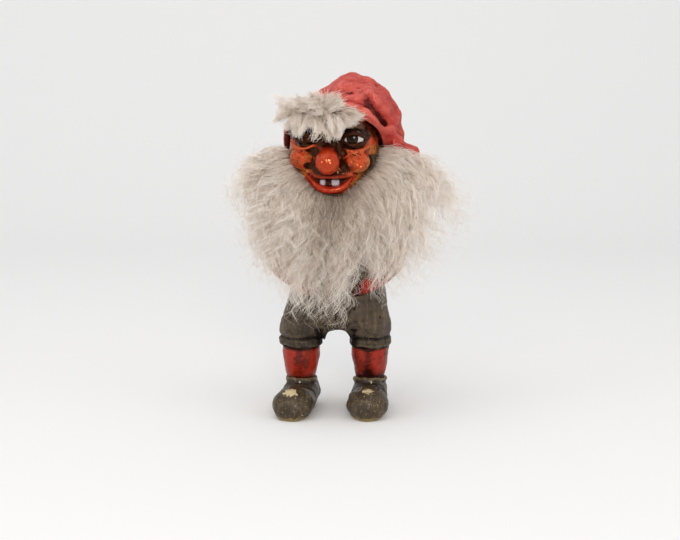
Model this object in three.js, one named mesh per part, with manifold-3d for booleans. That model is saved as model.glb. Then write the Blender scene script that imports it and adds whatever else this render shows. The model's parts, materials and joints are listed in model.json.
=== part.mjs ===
// A standing tomte, a Nordic house gnome: a carved and painted wooden figurine with glass eyes
// and a long beard of curly wool on the hide. Millimetres, +Z up, facing -Y.
// Right and left are the tomte's own, so right is -X.
import * as THREE from "three";
import { mergeVertices } from "three/addons/utils/BufferGeometryUtils.js";
import Module from "manifold-3d";

const wasm = await Module();
wasm.setup();

// ---- driving dimensions ----
const GAP = 0.3; // glue line between neighbours
const NECK_PLAY = 0.09; // running clearance of the neck dowel in the collar
const BODY_X = 1; // the body's middle; the neck stands on X = 0
const LEG_X = 21.5; // from the body's middle to the middle of a leg
const KNEE_Z = 40.4; // where the stockings meet the breeches
const WAIST_Z = 92; // where the shirt block meets the breeches
const NECK_Z = 130; // where the head meets the collar
const SOLE_TOP = 6; // thickness of a clog's sole inside
const HEAD_TURN = -7; // degrees: the head looks a little to the tomte's right
const EYE_R = 6;
const NOSE_R = 7.2;
const NECK_DOWEL_R = 4.5;
const WAIST_DOWEL_R = 4;
const LIMB_DOWEL_R = 2.5;
const HIDE = 1.1; // thickness of the wool's own skin
const BEARD_FALL = 57; // height of the beard's lowest lock
const HAT_TOP = 208.3;

// ---- colours of the real finishes ----
const RED = 0xa8372b;
const BREECHES = 0x5b5144;
const CLOG = 0x5d5146;
const SKIN = 0xb5452c;
const HAT_RED = 0xb83d36;
const WOOL = 0xbdb3a3;
const BEECH = 0xcfae7a;
const LEATHER = 0xb09a7c;

const tomte = new THREE.Group();
const headGroup = new THREE.Group();
headGroup.rotation.z = THREE.MathUtils.degToRad(HEAD_TURN);
tomte.add(headGroup);

// ---- helpers: three.js geometry to and from a manifold solid ----
function solid(geometry) {
  const bare = geometry.clone();
  bare.deleteAttribute("normal");
  bare.deleteAttribute("uv");
  const merged = mergeVertices(bare, 1e-4);
  return new wasm.Manifold(
    new wasm.Mesh({
      numProp: 3,
      vertProperties: new Float32Array(merged.attributes.position.array),
      triVerts: new Uint32Array(merged.index.array),
    }),
  );
}

function geometryOf(body, tolerance) {
  const mesh = body.simplify(tolerance).getMesh();
  const geometry = new THREE.BufferGeometry();
  geometry.setAttribute("position", new THREE.BufferAttribute(mesh.vertProperties, 3));
  geometry.setIndex(new THREE.BufferAttribute(mesh.triVerts, 1));
  geometry.computeVertexNormals();
  return geometry;
}

// The largest body of a cut solid, so that a trimmed-off crumb is dropped.
function largest(body) {
  const pieces = body.decompose();
  return pieces.reduce((best, p) => (p.volume() > best.volume() ? p : best));
}

function union(...bodies) {
  return bodies.reduce((sum, b) => sum.add(b));
}

function cut(body, ...tools) {
  return tools.reduce((rest, t) => rest.subtract(t), body);
}

function add(group, name, body, color, roughness = 0.7, tolerance = 0.1) {
  const material = new THREE.MeshStandardMaterial({ color, roughness, metalness: 0 });
  const mesh = new THREE.Mesh(geometryOf(body, tolerance), material);
  mesh.name = name;
  group.add(mesh);
  return mesh;
}

// Rings of points in space joined into one closed skin, with a fan at each end.
function skin(rings) {
  const sides = rings[0].length;
  const points = rings.flat();
  const faces = [];
  for (let r = 0; r + 1 < rings.length; r++) {
    for (let i = 0; i < sides; i++) {
      const j = (i + 1) % sides;
      const [a, b] = [r * sides + i, r * sides + j];
      faces.push(a, b, b + sides, a, b + sides, a + sides);
    }
  }
  const middle = (ring) => ring.reduce((s, p) => s.add(p), new THREE.Vector3()).divideScalar(sides);
  const first = points.length;
  points.push(middle(rings[0]), middle(rings[rings.length - 1]));
  const last = (rings.length - 1) * sides;
  for (let i = 0; i < sides; i++) {
    const j = (i + 1) % sides;
    faces.push(first, j, i, first + 1, last + i, last + j);
  }
  const geometry = new THREE.BufferGeometry().setFromPoints(points);
  geometry.setIndex(faces);
  return solid(geometry);
}

// A body turned or carved around a nearly upright axis: level ellipses [z, x, y, half width, half depth].
function stack(rings, sides = 20, grow = 0) {
  const ends = [rings[0], rings[rings.length - 1]];
  return skin(
    rings.map((ring) => {
      const [z, x, y, a, b] = ring;
      const lift = ring === ends[0] ? -grow : ring === ends[1] ? grow : 0;
      return Array.from({ length: sides }, (_, i) => {
        const t = (2 * Math.PI * i) / sides;
        return new THREE.Vector3(x + (a + grow) * Math.cos(t), y + (b + grow) * Math.sin(t), z + lift);
      });
    }),
  );
}

// A limb: round sections of changing radius along a smooth path of [x, y, z, radius].
function limb(stations, sides = 14, steps = 16, grow = 0) {
  const curve = new THREE.CatmullRomCurve3(stations.map(([x, y, z]) => new THREE.Vector3(x, y, z)));
  const frames = curve.computeFrenetFrames(steps);
  const radiusAt = (u) => {
    const s = u * (stations.length - 1);
    const i = Math.min(Math.floor(s), stations.length - 2);
    return THREE.MathUtils.lerp(stations[i][3], stations[i + 1][3], s - i) + grow;
  };
  const rings = [];
  for (let k = 0; k <= steps; k++) {
    const u = k / steps;
    const centre = curve.getPoint(u);
    // getPoint runs by station, and so does the frame taken here
    const tangent = curve.getTangent(u);
    const normal = frames.normals[k].clone();
    normal.sub(tangent.clone().multiplyScalar(normal.dot(tangent))).normalize();
    const side = new THREE.Vector3().crossVectors(tangent, normal);
    rings.push(
      Array.from({ length: sides }, (_, i) => {
        const t = (2 * Math.PI * i) / sides;
        return centre
          .clone()
          .addScaledVector(normal, radiusAt(u) * Math.cos(t))
          .addScaledVector(side, radiusAt(u) * Math.sin(t));
      }),
    );
  }
  return skin(rings);
}

function ball(x, y, z, a, b = a, c = a, across = 14, down = 8) {
  const geometry = new THREE.SphereGeometry(1, across, down);
  geometry.scale(a, b, c);
  geometry.translate(x, y, z);
  return solid(geometry);
}

function block(x0, x1, y0, y1, z0, z1) {
  const geometry = new THREE.BoxGeometry(x1 - x0, y1 - y0, z1 - z0);
  geometry.translate((x0 + x1) / 2, (y0 + y1) / 2, (z0 + z1) / 2);
  return solid(geometry);
}

// A turned peg between two points.
function peg(from, to, radius, sides = 20) {
  const [a, b] = [new THREE.Vector3(...from), new THREE.Vector3(...to)];
  const geometry = new THREE.CylinderGeometry(radius, radius, a.distanceTo(b), sides);
  const up = new THREE.Vector3(0, 1, 0);
  geometry.applyQuaternion(
    new THREE.Quaternion().setFromUnitVectors(up, b.clone().sub(a).normalize()),
  );
  geometry.translate((a.x + b.x) / 2, (a.y + b.y) / 2, (a.z + b.z) / 2);
  return solid(geometry);
}

// ---- the body: breeches, shirt, sleeves ----
const legX = (side) => BODY_X + side * LEG_X;
const seatRings = [
  [50.6, BODY_X, 0, 16, 9],
  [54, BODY_X, 0, 28, 16.5],
  [60, BODY_X + 0.6, 0, 31.4, 20],
  [68, BODY_X + 1.2, 0, 30.4, 21.2],
  [76, BODY_X + 1.2, 0, 29.8, 21.2],
  [84, BODY_X + 0.6, 0, 28, 20],
  [WAIST_Z, BODY_X, 0, 24.5, 17.6],
];
const shirtRings = [
  [WAIST_Z + GAP, BODY_X, 0, 24.5, 17.6],
  [101, BODY_X, 0, 25, 18.2],
  [111, BODY_X, 0, 25, 17.6],
  [118, BODY_X * 0.8, 0, 22.5, 15.4],
  [123, BODY_X * 0.5, 0, 16.5, 12.2],
  [126.5, 0, 0, 11, 10],
  [NECK_Z - GAP, 0, 0, 9.6, 9.4],
];

// One breeches leg with its turned-up cuff, for the side -1 (right) or 1 (left).
function breechesLeg(side) {
  return stack(
    [
      [KNEE_Z + GAP, legX(side), 0, 12.6, 14],
      [KNEE_Z + 1.2, legX(side), 0, 13.4, 15],
      [45, legX(side), 0, 13.4, 15],
      [46.2, legX(side) - side * 0.2, 0, 12.7, 14.2],
      [50.5, legX(side) - side * 0.8, 0, 13.6, 15.4],
      [58, legX(side) - side * 3.4, 0, 15, 17],
      [68, legX(side) - side * 7.5, 0, 14.5, 17.5],
    ],
    18,
  );
}

// The sleeve from the shoulder round the elbow into the trouser pocket.
function sleeve(side, grow = 0) {
  const path = [
    [21.5, 0.5, 119.5, 4.2],
    [26.5, 1.5, 114.5, 7.4],
    [32.5, 3.2, 106, 7.3],
    [36, 2.2, 97.5, 7.2],
    [32.5, -6.5, 91, 7.2],
    [25, -14.5, 86.5, 7.2],
    [17, -18.5, 82.5, 6.6],
    [10.5, -17.5, 78.5, 4.2],
  ];
  return limb(
    path.map(([x, y, z, r]) => [BODY_X + side * x, y, z, r]),
    14,
    18,
    grow,
  );
}

const shoulder = (side, x) => [BODY_X + side * x, 1, 113];
const waistFrom = [BODY_X, 0, WAIST_Z - 12];
const waistTo = [BODY_X, 0, WAIST_Z + 12];

const shirtBody = stack(shirtRings);
const shirtGrown = stack(shirtRings, 20, GAP);
const kneeFrom = (side) => [legX(side), 0, KNEE_Z - 9];
const kneeTo = (side) => [legX(side), 0, KNEE_Z + 11];

const breeches = cut(
  union(stack(seatRings, 24), breechesLeg(-1), breechesLeg(1)),
  sleeve(-1, GAP),
  sleeve(1, GAP),
  peg([...waistFrom.slice(0, 2), waistFrom[2] - GAP], waistTo, WAIST_DOWEL_R + GAP),
  ...[-1, 1].map((s) => peg(kneeFrom(s), [...kneeTo(s).slice(0, 2), kneeTo(s)[2] + GAP], LIMB_DOWEL_R + GAP)),
);
add(tomte, "breeches", largest(breeches), BREECHES);

const neckFrom = [0, 0, 108];
const neckTo = [0, 0, 152];
const shirt = cut(
  shirtBody,
  peg([0, 0, neckFrom[2] - GAP], neckTo, NECK_DOWEL_R + NECK_PLAY, 32),
  peg(waistFrom, [...waistTo.slice(0, 2), waistTo[2] + GAP], WAIST_DOWEL_R + GAP),
  ...[-1, 1].map((s) => peg(shoulder(s, 13 - GAP), shoulder(s, 40), LIMB_DOWEL_R + GAP)),
);
add(tomte, "shirt", shirt, RED, 0.7, 0.005);
add(tomte, "waist_dowel", peg(waistFrom, waistTo, WAIST_DOWEL_R), BEECH, 0.8, 0.005);

for (const [side, name] of [[-1, "right"], [1, "left"]]) {
  const arm = cut(
    sleeve(side),
    shirtGrown,
    peg(shoulder(side, 13), shoulder(side, 29 + GAP), LIMB_DOWEL_R + GAP),
  );
  add(tomte, `sleeve_${name}`, largest(arm), RED);
  const dowel = peg(shoulder(side, 13), shoulder(side, 29), LIMB_DOWEL_R);
  add(tomte, `shoulder_dowel_${name}`, dowel, BEECH, 0.8, 0.005);
}

// ---- legs and clogs ----
function stockingRings(side) {
  return [
    [SOLE_TOP + GAP, legX(side), 1, 7.2, 7.6],
    [16, legX(side), 1, 7.7, 8.2],
    [20.5, legX(side), 0.8, 8.1, 8.8],
    [27, legX(side) + side * 0.2, 0.4, 10.2, 11],
    [34, legX(side), 0, 11.4, 12.4],
    [KNEE_Z, legX(side), 0, 11.7, 12.8],
  ];
}

// A clog along -Y from the heel to the bulbous toe: [y, height of the middle, half width, half height].
const clogRings = [
  [15.5, 9.5, 4.5, 6],
  [14, 10, 8, 9.6],
  [9, 10.6, 10.8, 12.4],
  [1, 11, 11.6, 13.2],
  [-7, 10.6, 12, 12.2],
  [-14, 9.6, 12.8, 11],
  [-22, 8.8, 13, 10.6],
  [-28, 8.4, 11, 9.2],
  [-31.5, 8.2, 7.4, 6.4],
  [-33, 8, 3.4, 3],
];

function clogBody(side, turn) {
  const sides = 18;
  const body = skin(
    clogRings.map(([y, z, a, b]) =>
      Array.from({ length: sides }, (_, i) => {
        const t = (2 * Math.PI * i) / sides;
        return new THREE.Vector3(a * Math.cos(t), y, z + b * Math.sin(t));
      }),
    ),
  ).intersect(block(-20, 20, -40, 25, 0, 40));
  return body.rotate([0, 0, turn]).translate([legX(side), 1, 0]);
}

for (const [side, name, turn] of [[-1, "right", -10], [1, "left", -4.5]]) {
  const ankleFrom = [legX(side), 1, 2.5];
  const ankleTo = [legX(side), 1, 18];
  const kneeBore = peg([legX(side), 0, kneeFrom(side)[2] - GAP], kneeTo(side), LIMB_DOWEL_R + GAP);
  const ankleBore = peg(
    [legX(side), 1, ankleFrom[2] - GAP],
    [legX(side), 1, ankleTo[2] + GAP],
    LIMB_DOWEL_R + GAP,
  );
  add(tomte, `stocking_${name}`, cut(stack(stockingRings(side), 20), kneeBore, ankleBore), RED, 0.55);
  add(tomte, `knee_dowel_${name}`, peg(kneeFrom(side), kneeTo(side), LIMB_DOWEL_R), BEECH, 0.8, 0.005);
  const clog = cut(clogBody(side, turn), stack(stockingRings(side), 20, GAP + 0.05), ankleBore);
  add(tomte, `clog_${name}`, largest(clog), CLOG);
  add(tomte, `ankle_dowel_${name}`, peg(ankleFrom, ankleTo, LIMB_DOWEL_R), BEECH, 0.8, 0.005);
}

// ---- the head, in its own frame: the nose is on X = 0 ----
const headRings = [
  [NECK_Z, 0, 0, 9.6, 9.4],
  [133, 0, -3.5, 12, 13.5],
  [137, 0, -6, 16, 20],
  [143, 0, -4, 21.5, 23.8],
  [152, 0, -1.5, 26, 26.3],
  [162, 0, 0, 27.4, 27.4],
  [172, 0, 0.5, 27, 27],
  [181, 1, 1, 23.4, 24.4],
  [187, 2, 1.5, 17, 17],
  [190.5, 3, 1.5, 8, 8],
];
const cheek = (side, grow) => ball(side * 17, -20.2, 156, 9 + grow, 8.2 + grow, 7.8 + grow);
const lip = (grow) => ball(0.8, -22.4, 139, 10.5 + grow, 5 + grow, 3.2 + grow);
const browRidge = (grow) => ball(0, -20.5, 176, 23 + grow, 7 + grow, 5 + grow);
const carved = (grow) =>
  union(stack(headRings, 24, grow), cheek(-1, grow), cheek(1, grow), lip(grow), browRidge(grow));

const eyeAt = (side) => [side * 15.3, -19.6, 168.7];
const toothAt = [
  ["right", -3.6, 3.4],
  ["left", 4, 5],
];
const tooth = (x, width, grow) =>
  block(x - width / 2 - grow, x + width / 2 + grow, -25.4 - grow, -22 + grow, 141.4 - grow, 149 + grow);
const NOSE_AT = [0.3, -32.8, 155.8];
const nosePegFrom = [NOSE_AT[0], -16, NOSE_AT[2]];
const nosePegTo = [NOSE_AT[0], -31, NOSE_AT[2]];
const mouth = ball(0.6, -27.2, 143.8, 12.4, 6.6, 3.4);

const headBody = cut(
  carved(0),
  mouth,
  ...[-1, 1].map((s) => ball(...eyeAt(s), EYE_R + GAP)),
  ...toothAt.map(([, x, width]) => tooth(x, width, GAP)),
  peg([NOSE_AT[0], -16 + GAP, NOSE_AT[2]], nosePegTo, 2 + GAP, 14),
  peg([0, 0, NECK_Z - 2], [0, 0, neckTo[2] + GAP], NECK_DOWEL_R + GAP, 32),
);
add(headGroup, "head", largest(headBody), SKIN, 0.4);
add(headGroup, "neck_dowel", peg(neckFrom, neckTo, NECK_DOWEL_R, 32), BEECH, 0.8, 0.005);

const noseBall = cut(ball(...NOSE_AT, NOSE_R, NOSE_R, NOSE_R, 18, 12), carved(GAP));
add(headGroup, "nose", union(largest(noseBall), peg(nosePegFrom, nosePegTo, 2, 14)), SKIN, 0.2);
for (const [side, name] of [[-1, "right"], [1, "left"]]) {
  add(headGroup, `eye_${name}`, ball(...eyeAt(side), EYE_R, EYE_R, EYE_R, 18, 12), 0x1a1412, 0.05, 0.005);
}
for (const [name, x, width] of toothAt) {
  add(headGroup, `tooth_${name}`, tooth(x, width, 0), 0xd8cdc6, 0.3);
}

// ---- the hat: a carved stocking cap whose tail falls over the left ear ----
const hatRings = [
  [144, 0, 1.5, 29.5, 30],
  [156, 0, 1.5, 31, 31.4],
  [168, 0.5, 1.5, 31.4, 31.6],
  [178, 1.5, 1.5, 30.6, 30.6],
  [187, 4, 2, 27.4, 27.6],
  [195, 8, 2.5, 22, 22.6],
  [201, 10, 3, 15, 16],
  [205.5, 11, 3, 8.6, 9.6],
  [HAT_TOP, 11, 3, 2.6, 3.2],
];
const tailPath = [
  [10, 5, 195, 9],
  [22, 7, 193.5, 10.5],
  [30, 8, 183.5, 9.6],
  [34.2, 9, 172.5, 7.4],
  [38, 10, 163.8, 5.8],
  [44.5, 11, 158.6, 5],
  [51.5, 11.5, 157, 3],
];
// The brim runs steeply down beside the face, then flatter behind the ears to the nape.
const brim = [
  [-34, 198],
  [2, 160],
  [34, 148],
];
function belowBrim(drop) {
  const outline = new THREE.Shape();
  outline.moveTo(-90, 100);
  outline.lineTo(-90, brim[0][1] + 60 - drop);
  brim.forEach(([y, z]) => outline.lineTo(y, z - drop));
  outline.lineTo(90, brim[2][1] - 18 - drop);
  outline.lineTo(90, 100);
  const geometry = new THREE.ExtrudeGeometry(outline, { depth: 140, bevelEnabled: false });
  // the outline's own axes are Y and Z of the head
  const toHead = new THREE.Matrix4().makeBasis(
    new THREE.Vector3(0, 1, 0),
    new THREE.Vector3(0, 0, 1),
    new THREE.Vector3(1, 0, 0),
  );
  geometry.applyMatrix4(toHead);
  geometry.translate(-70, 0, 0);
  return solid(geometry);
}
const hatOuter = (grow) => union(stack(hatRings, 24, grow), limb(tailPath, 12, 16, grow));
const hat = cut(hatOuter(0), stack(headRings, 24, GAP), browRidge(GAP), belowBrim(0));
add(headGroup, "hat", largest(hat), HAT_RED, 0.75);
const hatSpace = hatOuter(GAP).subtract(belowBrim(GAP));

// ---- the wool: strips of hide glued along the jaw and brow, and the fleece that they hold ----
const hideShell = cut(carved(GAP + HIDE), carved(GAP), hatSpace);
const hideRegions = {
  right: block(-34, -17.5, -17, 8, 141.5, 160),
  left: block(17.5, 34, -17, 8, 141.5, 160),
  chin: block(-17, 17, -40, -6, 131, 137.4),
  brow: block(-23, 17, -40, -8, 178.5, 188),
};
for (const [name, region] of Object.entries(hideRegions)) {
  add(headGroup, `hide_${name}`, largest(hideShell.intersect(region)), LEATHER);
}

// The fleece is given in the standing tomte's frame, where its locks hang.
const chinRings = [
  [BEARD_FALL, -7, -28, 4, 3],
  [64, -7, -29, 13, 5.5],
  [75, -6.5, -30.5, 21, 8.5],
  [88, -6, -31.5, 29, 10.5],
  [101, -5, -32, 32, 12],
  [115, -3, -31.5, 29, 12.5],
  [127, -2, -28.5, 24, 12],
  [134, -2, -25, 17, 9],
  [137.5, -2, -22, 11, 6],
];
const rightRings = [
  [72, -48, -19, 3, 3.5],
  [80, -47, -19, 7, 6.5],
  [90, -45.5, -18, 11, 9.5],
  [102, -45, -16.5, 14, 12],
  [114, -45, -14.5, 17, 14],
  [127, -44, -12, 20, 15.5],
  [139, -42, -10.5, 23, 16.5],
  [150, -40, -9.5, 20, 15],
  [159, -35.5, -8.5, 12.5, 11],
  [165, -31, -7, 4.5, 5.5],
];
const leftRings = [
  [78, 47, -18, 3.5, 4],
  [86, 46.5, -18, 9, 7.5],
  [97, 46, -17, 14.5, 11],
  [109, 46.5, -15.5, 20.5, 13],
  [121, 48, -13.5, 26, 14.5],
  [133, 47, -12, 29, 15],
  [145, 45.5, -11, 24, 14],
  [155, 39.5, -10, 15, 11.5],
  [163, 34, -8.5, 6, 7],
];
const inHeadFrame = (body) => body.rotate([0, 0, -HEAD_TURN]);
const bodySpace = union(
  shirtGrown,
  stack(seatRings, 24, GAP),
  ...[-1, 1].flatMap((s) => [sleeve(s, GAP)]),
);
const headSpace = union(carved(2 * GAP + HIDE), hatSpace);
const chinFleece = (grow) => stack(chinRings, 20, grow);
const fleeces = {
  beard_chin: chinFleece(0),
  beard_right: stack(rightRings, 20).subtract(chinFleece(GAP)),
  beard_left: stack(leftRings, 20).subtract(chinFleece(GAP)),
};
for (const [name, fleece] of Object.entries(fleeces)) {
  const loose = inHeadFrame(fleece.subtract(bodySpace));
  add(headGroup, name, largest(cut(loose, headSpace)), WOOL, 1);
}

// The forelock stands out from the brow and up over the brim.
const forelockRings = [
  [169, -4, -30.5, 15, 4],
  [174, -6, -29.5, 23, 7],
  [182, -7, -29, 27, 9.5],
  [190, -7, -26.5, 25, 9.5],
  [196, -7, -23, 16, 6],
  [198.5, -7, -21.5, 6, 2.5],
];
const forelock = cut(inHeadFrame(stack(forelockRings, 20)), headSpace);
add(headGroup, "forelock", largest(forelock), WOOL, 1);

// The origin is on the ground, in the middle of the footprint of the whole figure.
const reach = new THREE.Box3().setFromObject(tomte, true);
tomte.position.set(-(reach.min.x + reach.max.x) / 2, -(reach.min.y + reach.max.y) / 2, -reach.min.z);

export default tomte;
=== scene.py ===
# A carved and painted wooden tomte with glass eyes and a beard of uncut curly wool.
import json
import math
import bpy
import numpy as np
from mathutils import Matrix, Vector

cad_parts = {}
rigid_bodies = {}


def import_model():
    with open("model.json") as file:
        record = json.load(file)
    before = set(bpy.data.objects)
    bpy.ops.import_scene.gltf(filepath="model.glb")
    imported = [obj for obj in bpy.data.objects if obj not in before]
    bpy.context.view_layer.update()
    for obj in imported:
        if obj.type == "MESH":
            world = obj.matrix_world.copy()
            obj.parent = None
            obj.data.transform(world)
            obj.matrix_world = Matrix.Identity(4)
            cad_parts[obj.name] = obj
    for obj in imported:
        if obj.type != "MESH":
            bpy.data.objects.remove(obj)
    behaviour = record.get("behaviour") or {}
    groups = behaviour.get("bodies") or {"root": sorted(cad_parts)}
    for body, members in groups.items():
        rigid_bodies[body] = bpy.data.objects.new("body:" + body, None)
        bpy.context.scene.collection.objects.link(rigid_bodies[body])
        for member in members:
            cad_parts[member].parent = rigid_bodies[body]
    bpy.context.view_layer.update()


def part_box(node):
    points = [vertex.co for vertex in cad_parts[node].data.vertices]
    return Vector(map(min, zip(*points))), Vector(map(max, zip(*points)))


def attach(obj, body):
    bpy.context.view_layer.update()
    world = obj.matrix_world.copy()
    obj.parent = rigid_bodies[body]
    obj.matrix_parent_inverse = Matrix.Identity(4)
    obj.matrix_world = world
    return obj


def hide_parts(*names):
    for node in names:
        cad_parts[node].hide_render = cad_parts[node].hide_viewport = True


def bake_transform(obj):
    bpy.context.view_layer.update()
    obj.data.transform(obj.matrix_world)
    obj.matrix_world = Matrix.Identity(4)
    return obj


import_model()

import openvdb
from mathutils import Vector

neckLow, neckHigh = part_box("neck_dowel")
neckX, neckY = 500 * (neckLow[0] + neckHigh[0]), 500 * (neckLow[1] + neckHigh[1])
headTurn = math.radians(-7)  # the head looks a little to the tomte's right
anyTurn = 6.28  # radians, for phases drawn at random


# small helpers for colours, nodes and places

def linear(hexColour):
    parts = [int(hexColour[i:i + 2], 16) / 255 for i in (1, 3, 5)]
    return [*(c / 12.92 if c <= 0.04045 else ((c + 0.055) / 1.055) ** 2.4 for c in parts), 1.0]


def addNode(tree, kind, settings=None, inputs=None):
    node = tree.nodes.new(kind)
    for key, value in (settings or {}).items():
        setattr(node, key, value)
    for key, value in (inputs or {}).items():
        if isinstance(value, bpy.types.NodeSocket):
            tree.links.new(value, node.inputs[key])
        else:
            node.inputs[key].default_value = value
    return node


def emptyMaterial(name):
    material = bpy.data.materials.new(name)
    material.use_nodes = True
    material.node_tree.nodes.clear()
    return material


def dress(piece, material):
    piece.data.materials.clear()
    piece.data.materials.append(material)


def standing(points):  # millimetres around the neck's axis to metres in the shared frame
    return (np.asarray(points, float) + (neckX, neckY, 0)) / 1000


def turned(points):  # the head's own millimetres to metres in the shared frame
    points = np.asarray(points, float)
    c, s = math.cos(headTurn), math.sin(headTurn)
    x, y = points[..., 0], points[..., 1]
    return standing(np.stack([c * x - s * y, s * x + c * y, points[..., 2]], -1))


def headward(points):  # standing millimetres to the head's own
    points = np.asarray(points, float)
    c, s = math.cos(-headTurn), math.sin(-headTurn)
    x, y = points[..., 0], points[..., 1]
    return np.stack([c * x - s * y, s * x + c * y, points[..., 2]], -1)


def smoothRows(rows, at):  # rows of [t, ...] read at any t, without overshoot
    rows = np.asarray(rows, float)
    t, v = rows[:, 0], rows[:, 1:]
    step = np.diff(t)[:, None]
    slope = np.diff(v, axis=0) / step
    product = slope[:-1] * slope[1:]
    inner = np.where(product > 0, 2 * product / (slope[:-1] + slope[1:] + 1e-12), 0)
    tangent = np.vstack([slope[:1], inner, slope[-1:]])
    at = np.clip(np.asarray(at, float), t[0], t[-1])
    i = np.clip(np.searchsorted(t, at) - 1, 0, len(t) - 2)
    h = (t[i + 1] - t[i])[:, None]
    u = ((at - t[i])[:, None]) / h
    return ((2 * u**3 - 3 * u**2 + 1) * v[i] + (u**3 - 2 * u**2 + u) * h * tangent[i]
            + (3 * u**2 - 2 * u**3) * v[i + 1] + (u**3 - u**2) * h * tangent[i + 1])


def throughPoints(points, count):  # a smooth path through a few points
    points = np.asarray(points, float)
    padded = np.vstack([2 * points[0] - points[1], points, 2 * points[-1] - points[-2]])
    out = []
    for t in np.linspace(0, len(points) - 1, count):
        i = min(int(t), len(points) - 2)
        u = t - i
        a, b, c, d = padded[i:i + 4]
        bow, twist = 2 * a - 5 * b + 4 * c - d, 3 * b - a - 3 * c + d
        out.append(0.5 * (2 * b + (c - a) * u + bow * u**2 + twist * u**3))
    return np.array(out)


# carving: distance fields that are added to and cut from, then skinned

def newBlock(low, high, voxel):
    low = np.array(low, float)
    counts = np.ceil((np.array(high) - low) / voxel).astype(int) + 1
    x, y, z = [(low[i] + voxel * np.arange(counts[i])).astype(np.float32) for i in range(3)]
    return {"low": low, "voxel": voxel, "x": x[:, None, None], "y": y[None, :, None], "z": z[None, None, :],
            "d": np.full(counts, 50, np.float32)}


def window(block, low, high):
    counts = block["d"].shape
    a = [int(np.clip((low[i] - block["low"][i]) // block["voxel"], 0, counts[i])) for i in range(3)]
    b = [int(np.clip((high[i] - block["low"][i]) // block["voxel"] + 2, 0, counts[i])) for i in range(3)]
    part = tuple(slice(a[i], b[i]) for i in range(3))
    return part, block["x"][part[0]], block["y"][:, part[1]], block["z"][:, :, part[2]]


def meet(block, part, shape, how, soft):
    old = block["d"][part] if how == "add" else -block["d"][part]
    mix = np.clip(0.5 + 0.5 * (shape - old) / soft, 0, 1)
    new = shape * (1 - mix) + old * mix - soft * mix * (1 - mix)
    block["d"][part] = new if how == "add" else -new


def ball(block, centre, radii, how="add", soft=1.0, tilt=0.0):
    centre, radii = np.array(centre, float), np.array(radii, float)
    reach = radii.max() + soft + 1.5 if tilt else radii + soft + 1.5
    part, x, y, z = window(block, centre - reach, centre + reach)
    x, y, z = x - centre[0], y - centre[1], z - centre[2]
    if tilt:  # about the front-to-back axis, in degrees
        c, s = math.cos(math.radians(tilt)), math.sin(math.radians(tilt))
        x, z = c * x + s * z, -s * x + c * z
    k = np.sqrt((x / radii[0])**2 + (y / radii[1])**2 + (z / radii[2])**2) + 1e-6
    g = np.sqrt((x / radii[0]**2)**2 + (y / radii[1]**2)**2 + (z / radii[2]**2)**2) + 1e-6
    meet(block, part, k * (k - 1) / g, how, soft)


def alongPath(x, y, z, path):  # distance to a path, and how far along it (0 to 1)
    best, where = None, None
    for i in range(len(path) - 1):
        a, ab = path[i], path[i + 1] - path[i]
        px, py, pz = x - a[0], y - a[1], z - a[2]
        h = np.clip((px * ab[0] + py * ab[1] + pz * ab[2]) / (ab @ ab + 1e-9), 0, 1)
        d = np.sqrt((px - h * ab[0])**2 + (py - h * ab[1])**2 + (pz - h * ab[2])**2)
        t = (i + h) / (len(path) - 1)
        if best is None:
            best, where = d, t
        else:
            nearer = d < best
            best, where = np.where(nearer, d, best), np.where(nearer, t, where)
    return best, where


def rod(block, stations, how="add", soft=1.0, pieces=10):  # stations are [x, y, z, radius]
    line = throughPoints(stations, pieces + 1)
    reach = line[:, 3].max() + soft + 1.5
    part, x, y, z = window(block, line[:, :3].min(0) - reach, line[:, :3].max(0) + reach)
    d, t = alongPath(x, y, z, line[:, :3])
    meet(block, part, d - np.interp(t, np.linspace(0, 1, len(line)), line[:, 3]), how, soft)


def groove(block, path, width, depth, pieces=8):  # a negative depth raises a ridge
    line = throughPoints(path, pieces + 1)
    part, x, y, z = window(block, line.min(0) - 3 * width, line.max(0) + 3 * width)
    d, t = alongPath(x, y, z, line)
    fade = np.clip(np.minimum(t, 1 - t) * 6, 0.15, 1)
    block["d"][part] += depth * fade * np.exp(-(d / width)**2)


def stack(block, rings, how="add", soft=1.0, grow=0.0):  # level ellipses [z, x, y, half width, half depth]
    rows = smoothRows(rings, block["z"].ravel())
    cx, cy, a, b = [rows[:, i][None, None, :].astype(np.float32) for i in range(4)]
    a, b = a + grow, b + grow
    x, y = block["x"] - cx, block["y"] - cy
    k = np.sqrt((x / a)**2 + (y / b)**2) + 1e-6
    g = np.sqrt((x / a**2)**2 + (y / b**2)**2) + 1e-6
    side = k * (k - 1) / g
    ends = np.maximum(rings[0][0] - grow - block["z"], block["z"] - rings[-1][0] - grow)
    meet(block, (slice(None),) * 3, np.maximum(side, ends), how, soft)


def lumps(block, size, height, seed, waves=6):  # hand-cut unevenness
    rng = np.random.default_rng(seed)
    total = 0
    for _ in range(waves):
        k = rng.normal(size=3)
        k *= 2 * math.pi / (size * rng.uniform(0.7, 1.5)) / np.linalg.norm(k)
        total = total + np.cos(k[0] * block["x"] + k[1] * block["y"] + k[2] * block["z"] + rng.uniform(0, anyTurn))
    block["d"] += (height / math.sqrt(waves)) * total


def sampled(block, field, points):
    i = np.rint((points - block["low"]) / block["voxel"]).astype(int)
    i = np.clip(i, 0, np.array(field.shape) - 1)
    return field[i[:, 0], i[:, 1], i[:, 2]]


def boxBlur(field, radius):
    for axis in range(3):
        pad = [(radius + 1, radius) if i == axis else (0, 0) for i in range(3)]
        total = np.cumsum(np.pad(field, pad, mode="edge"), axis=axis, dtype=np.float64)
        n = field.shape[axis]
        high = np.take(total, np.arange(2 * radius + 1, 2 * radius + 1 + n), axis=axis)
        low = np.take(total, np.arange(0, n), axis=axis)
        field = ((high - low) / (2 * radius + 1)).astype(np.float32)
    return field


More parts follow.
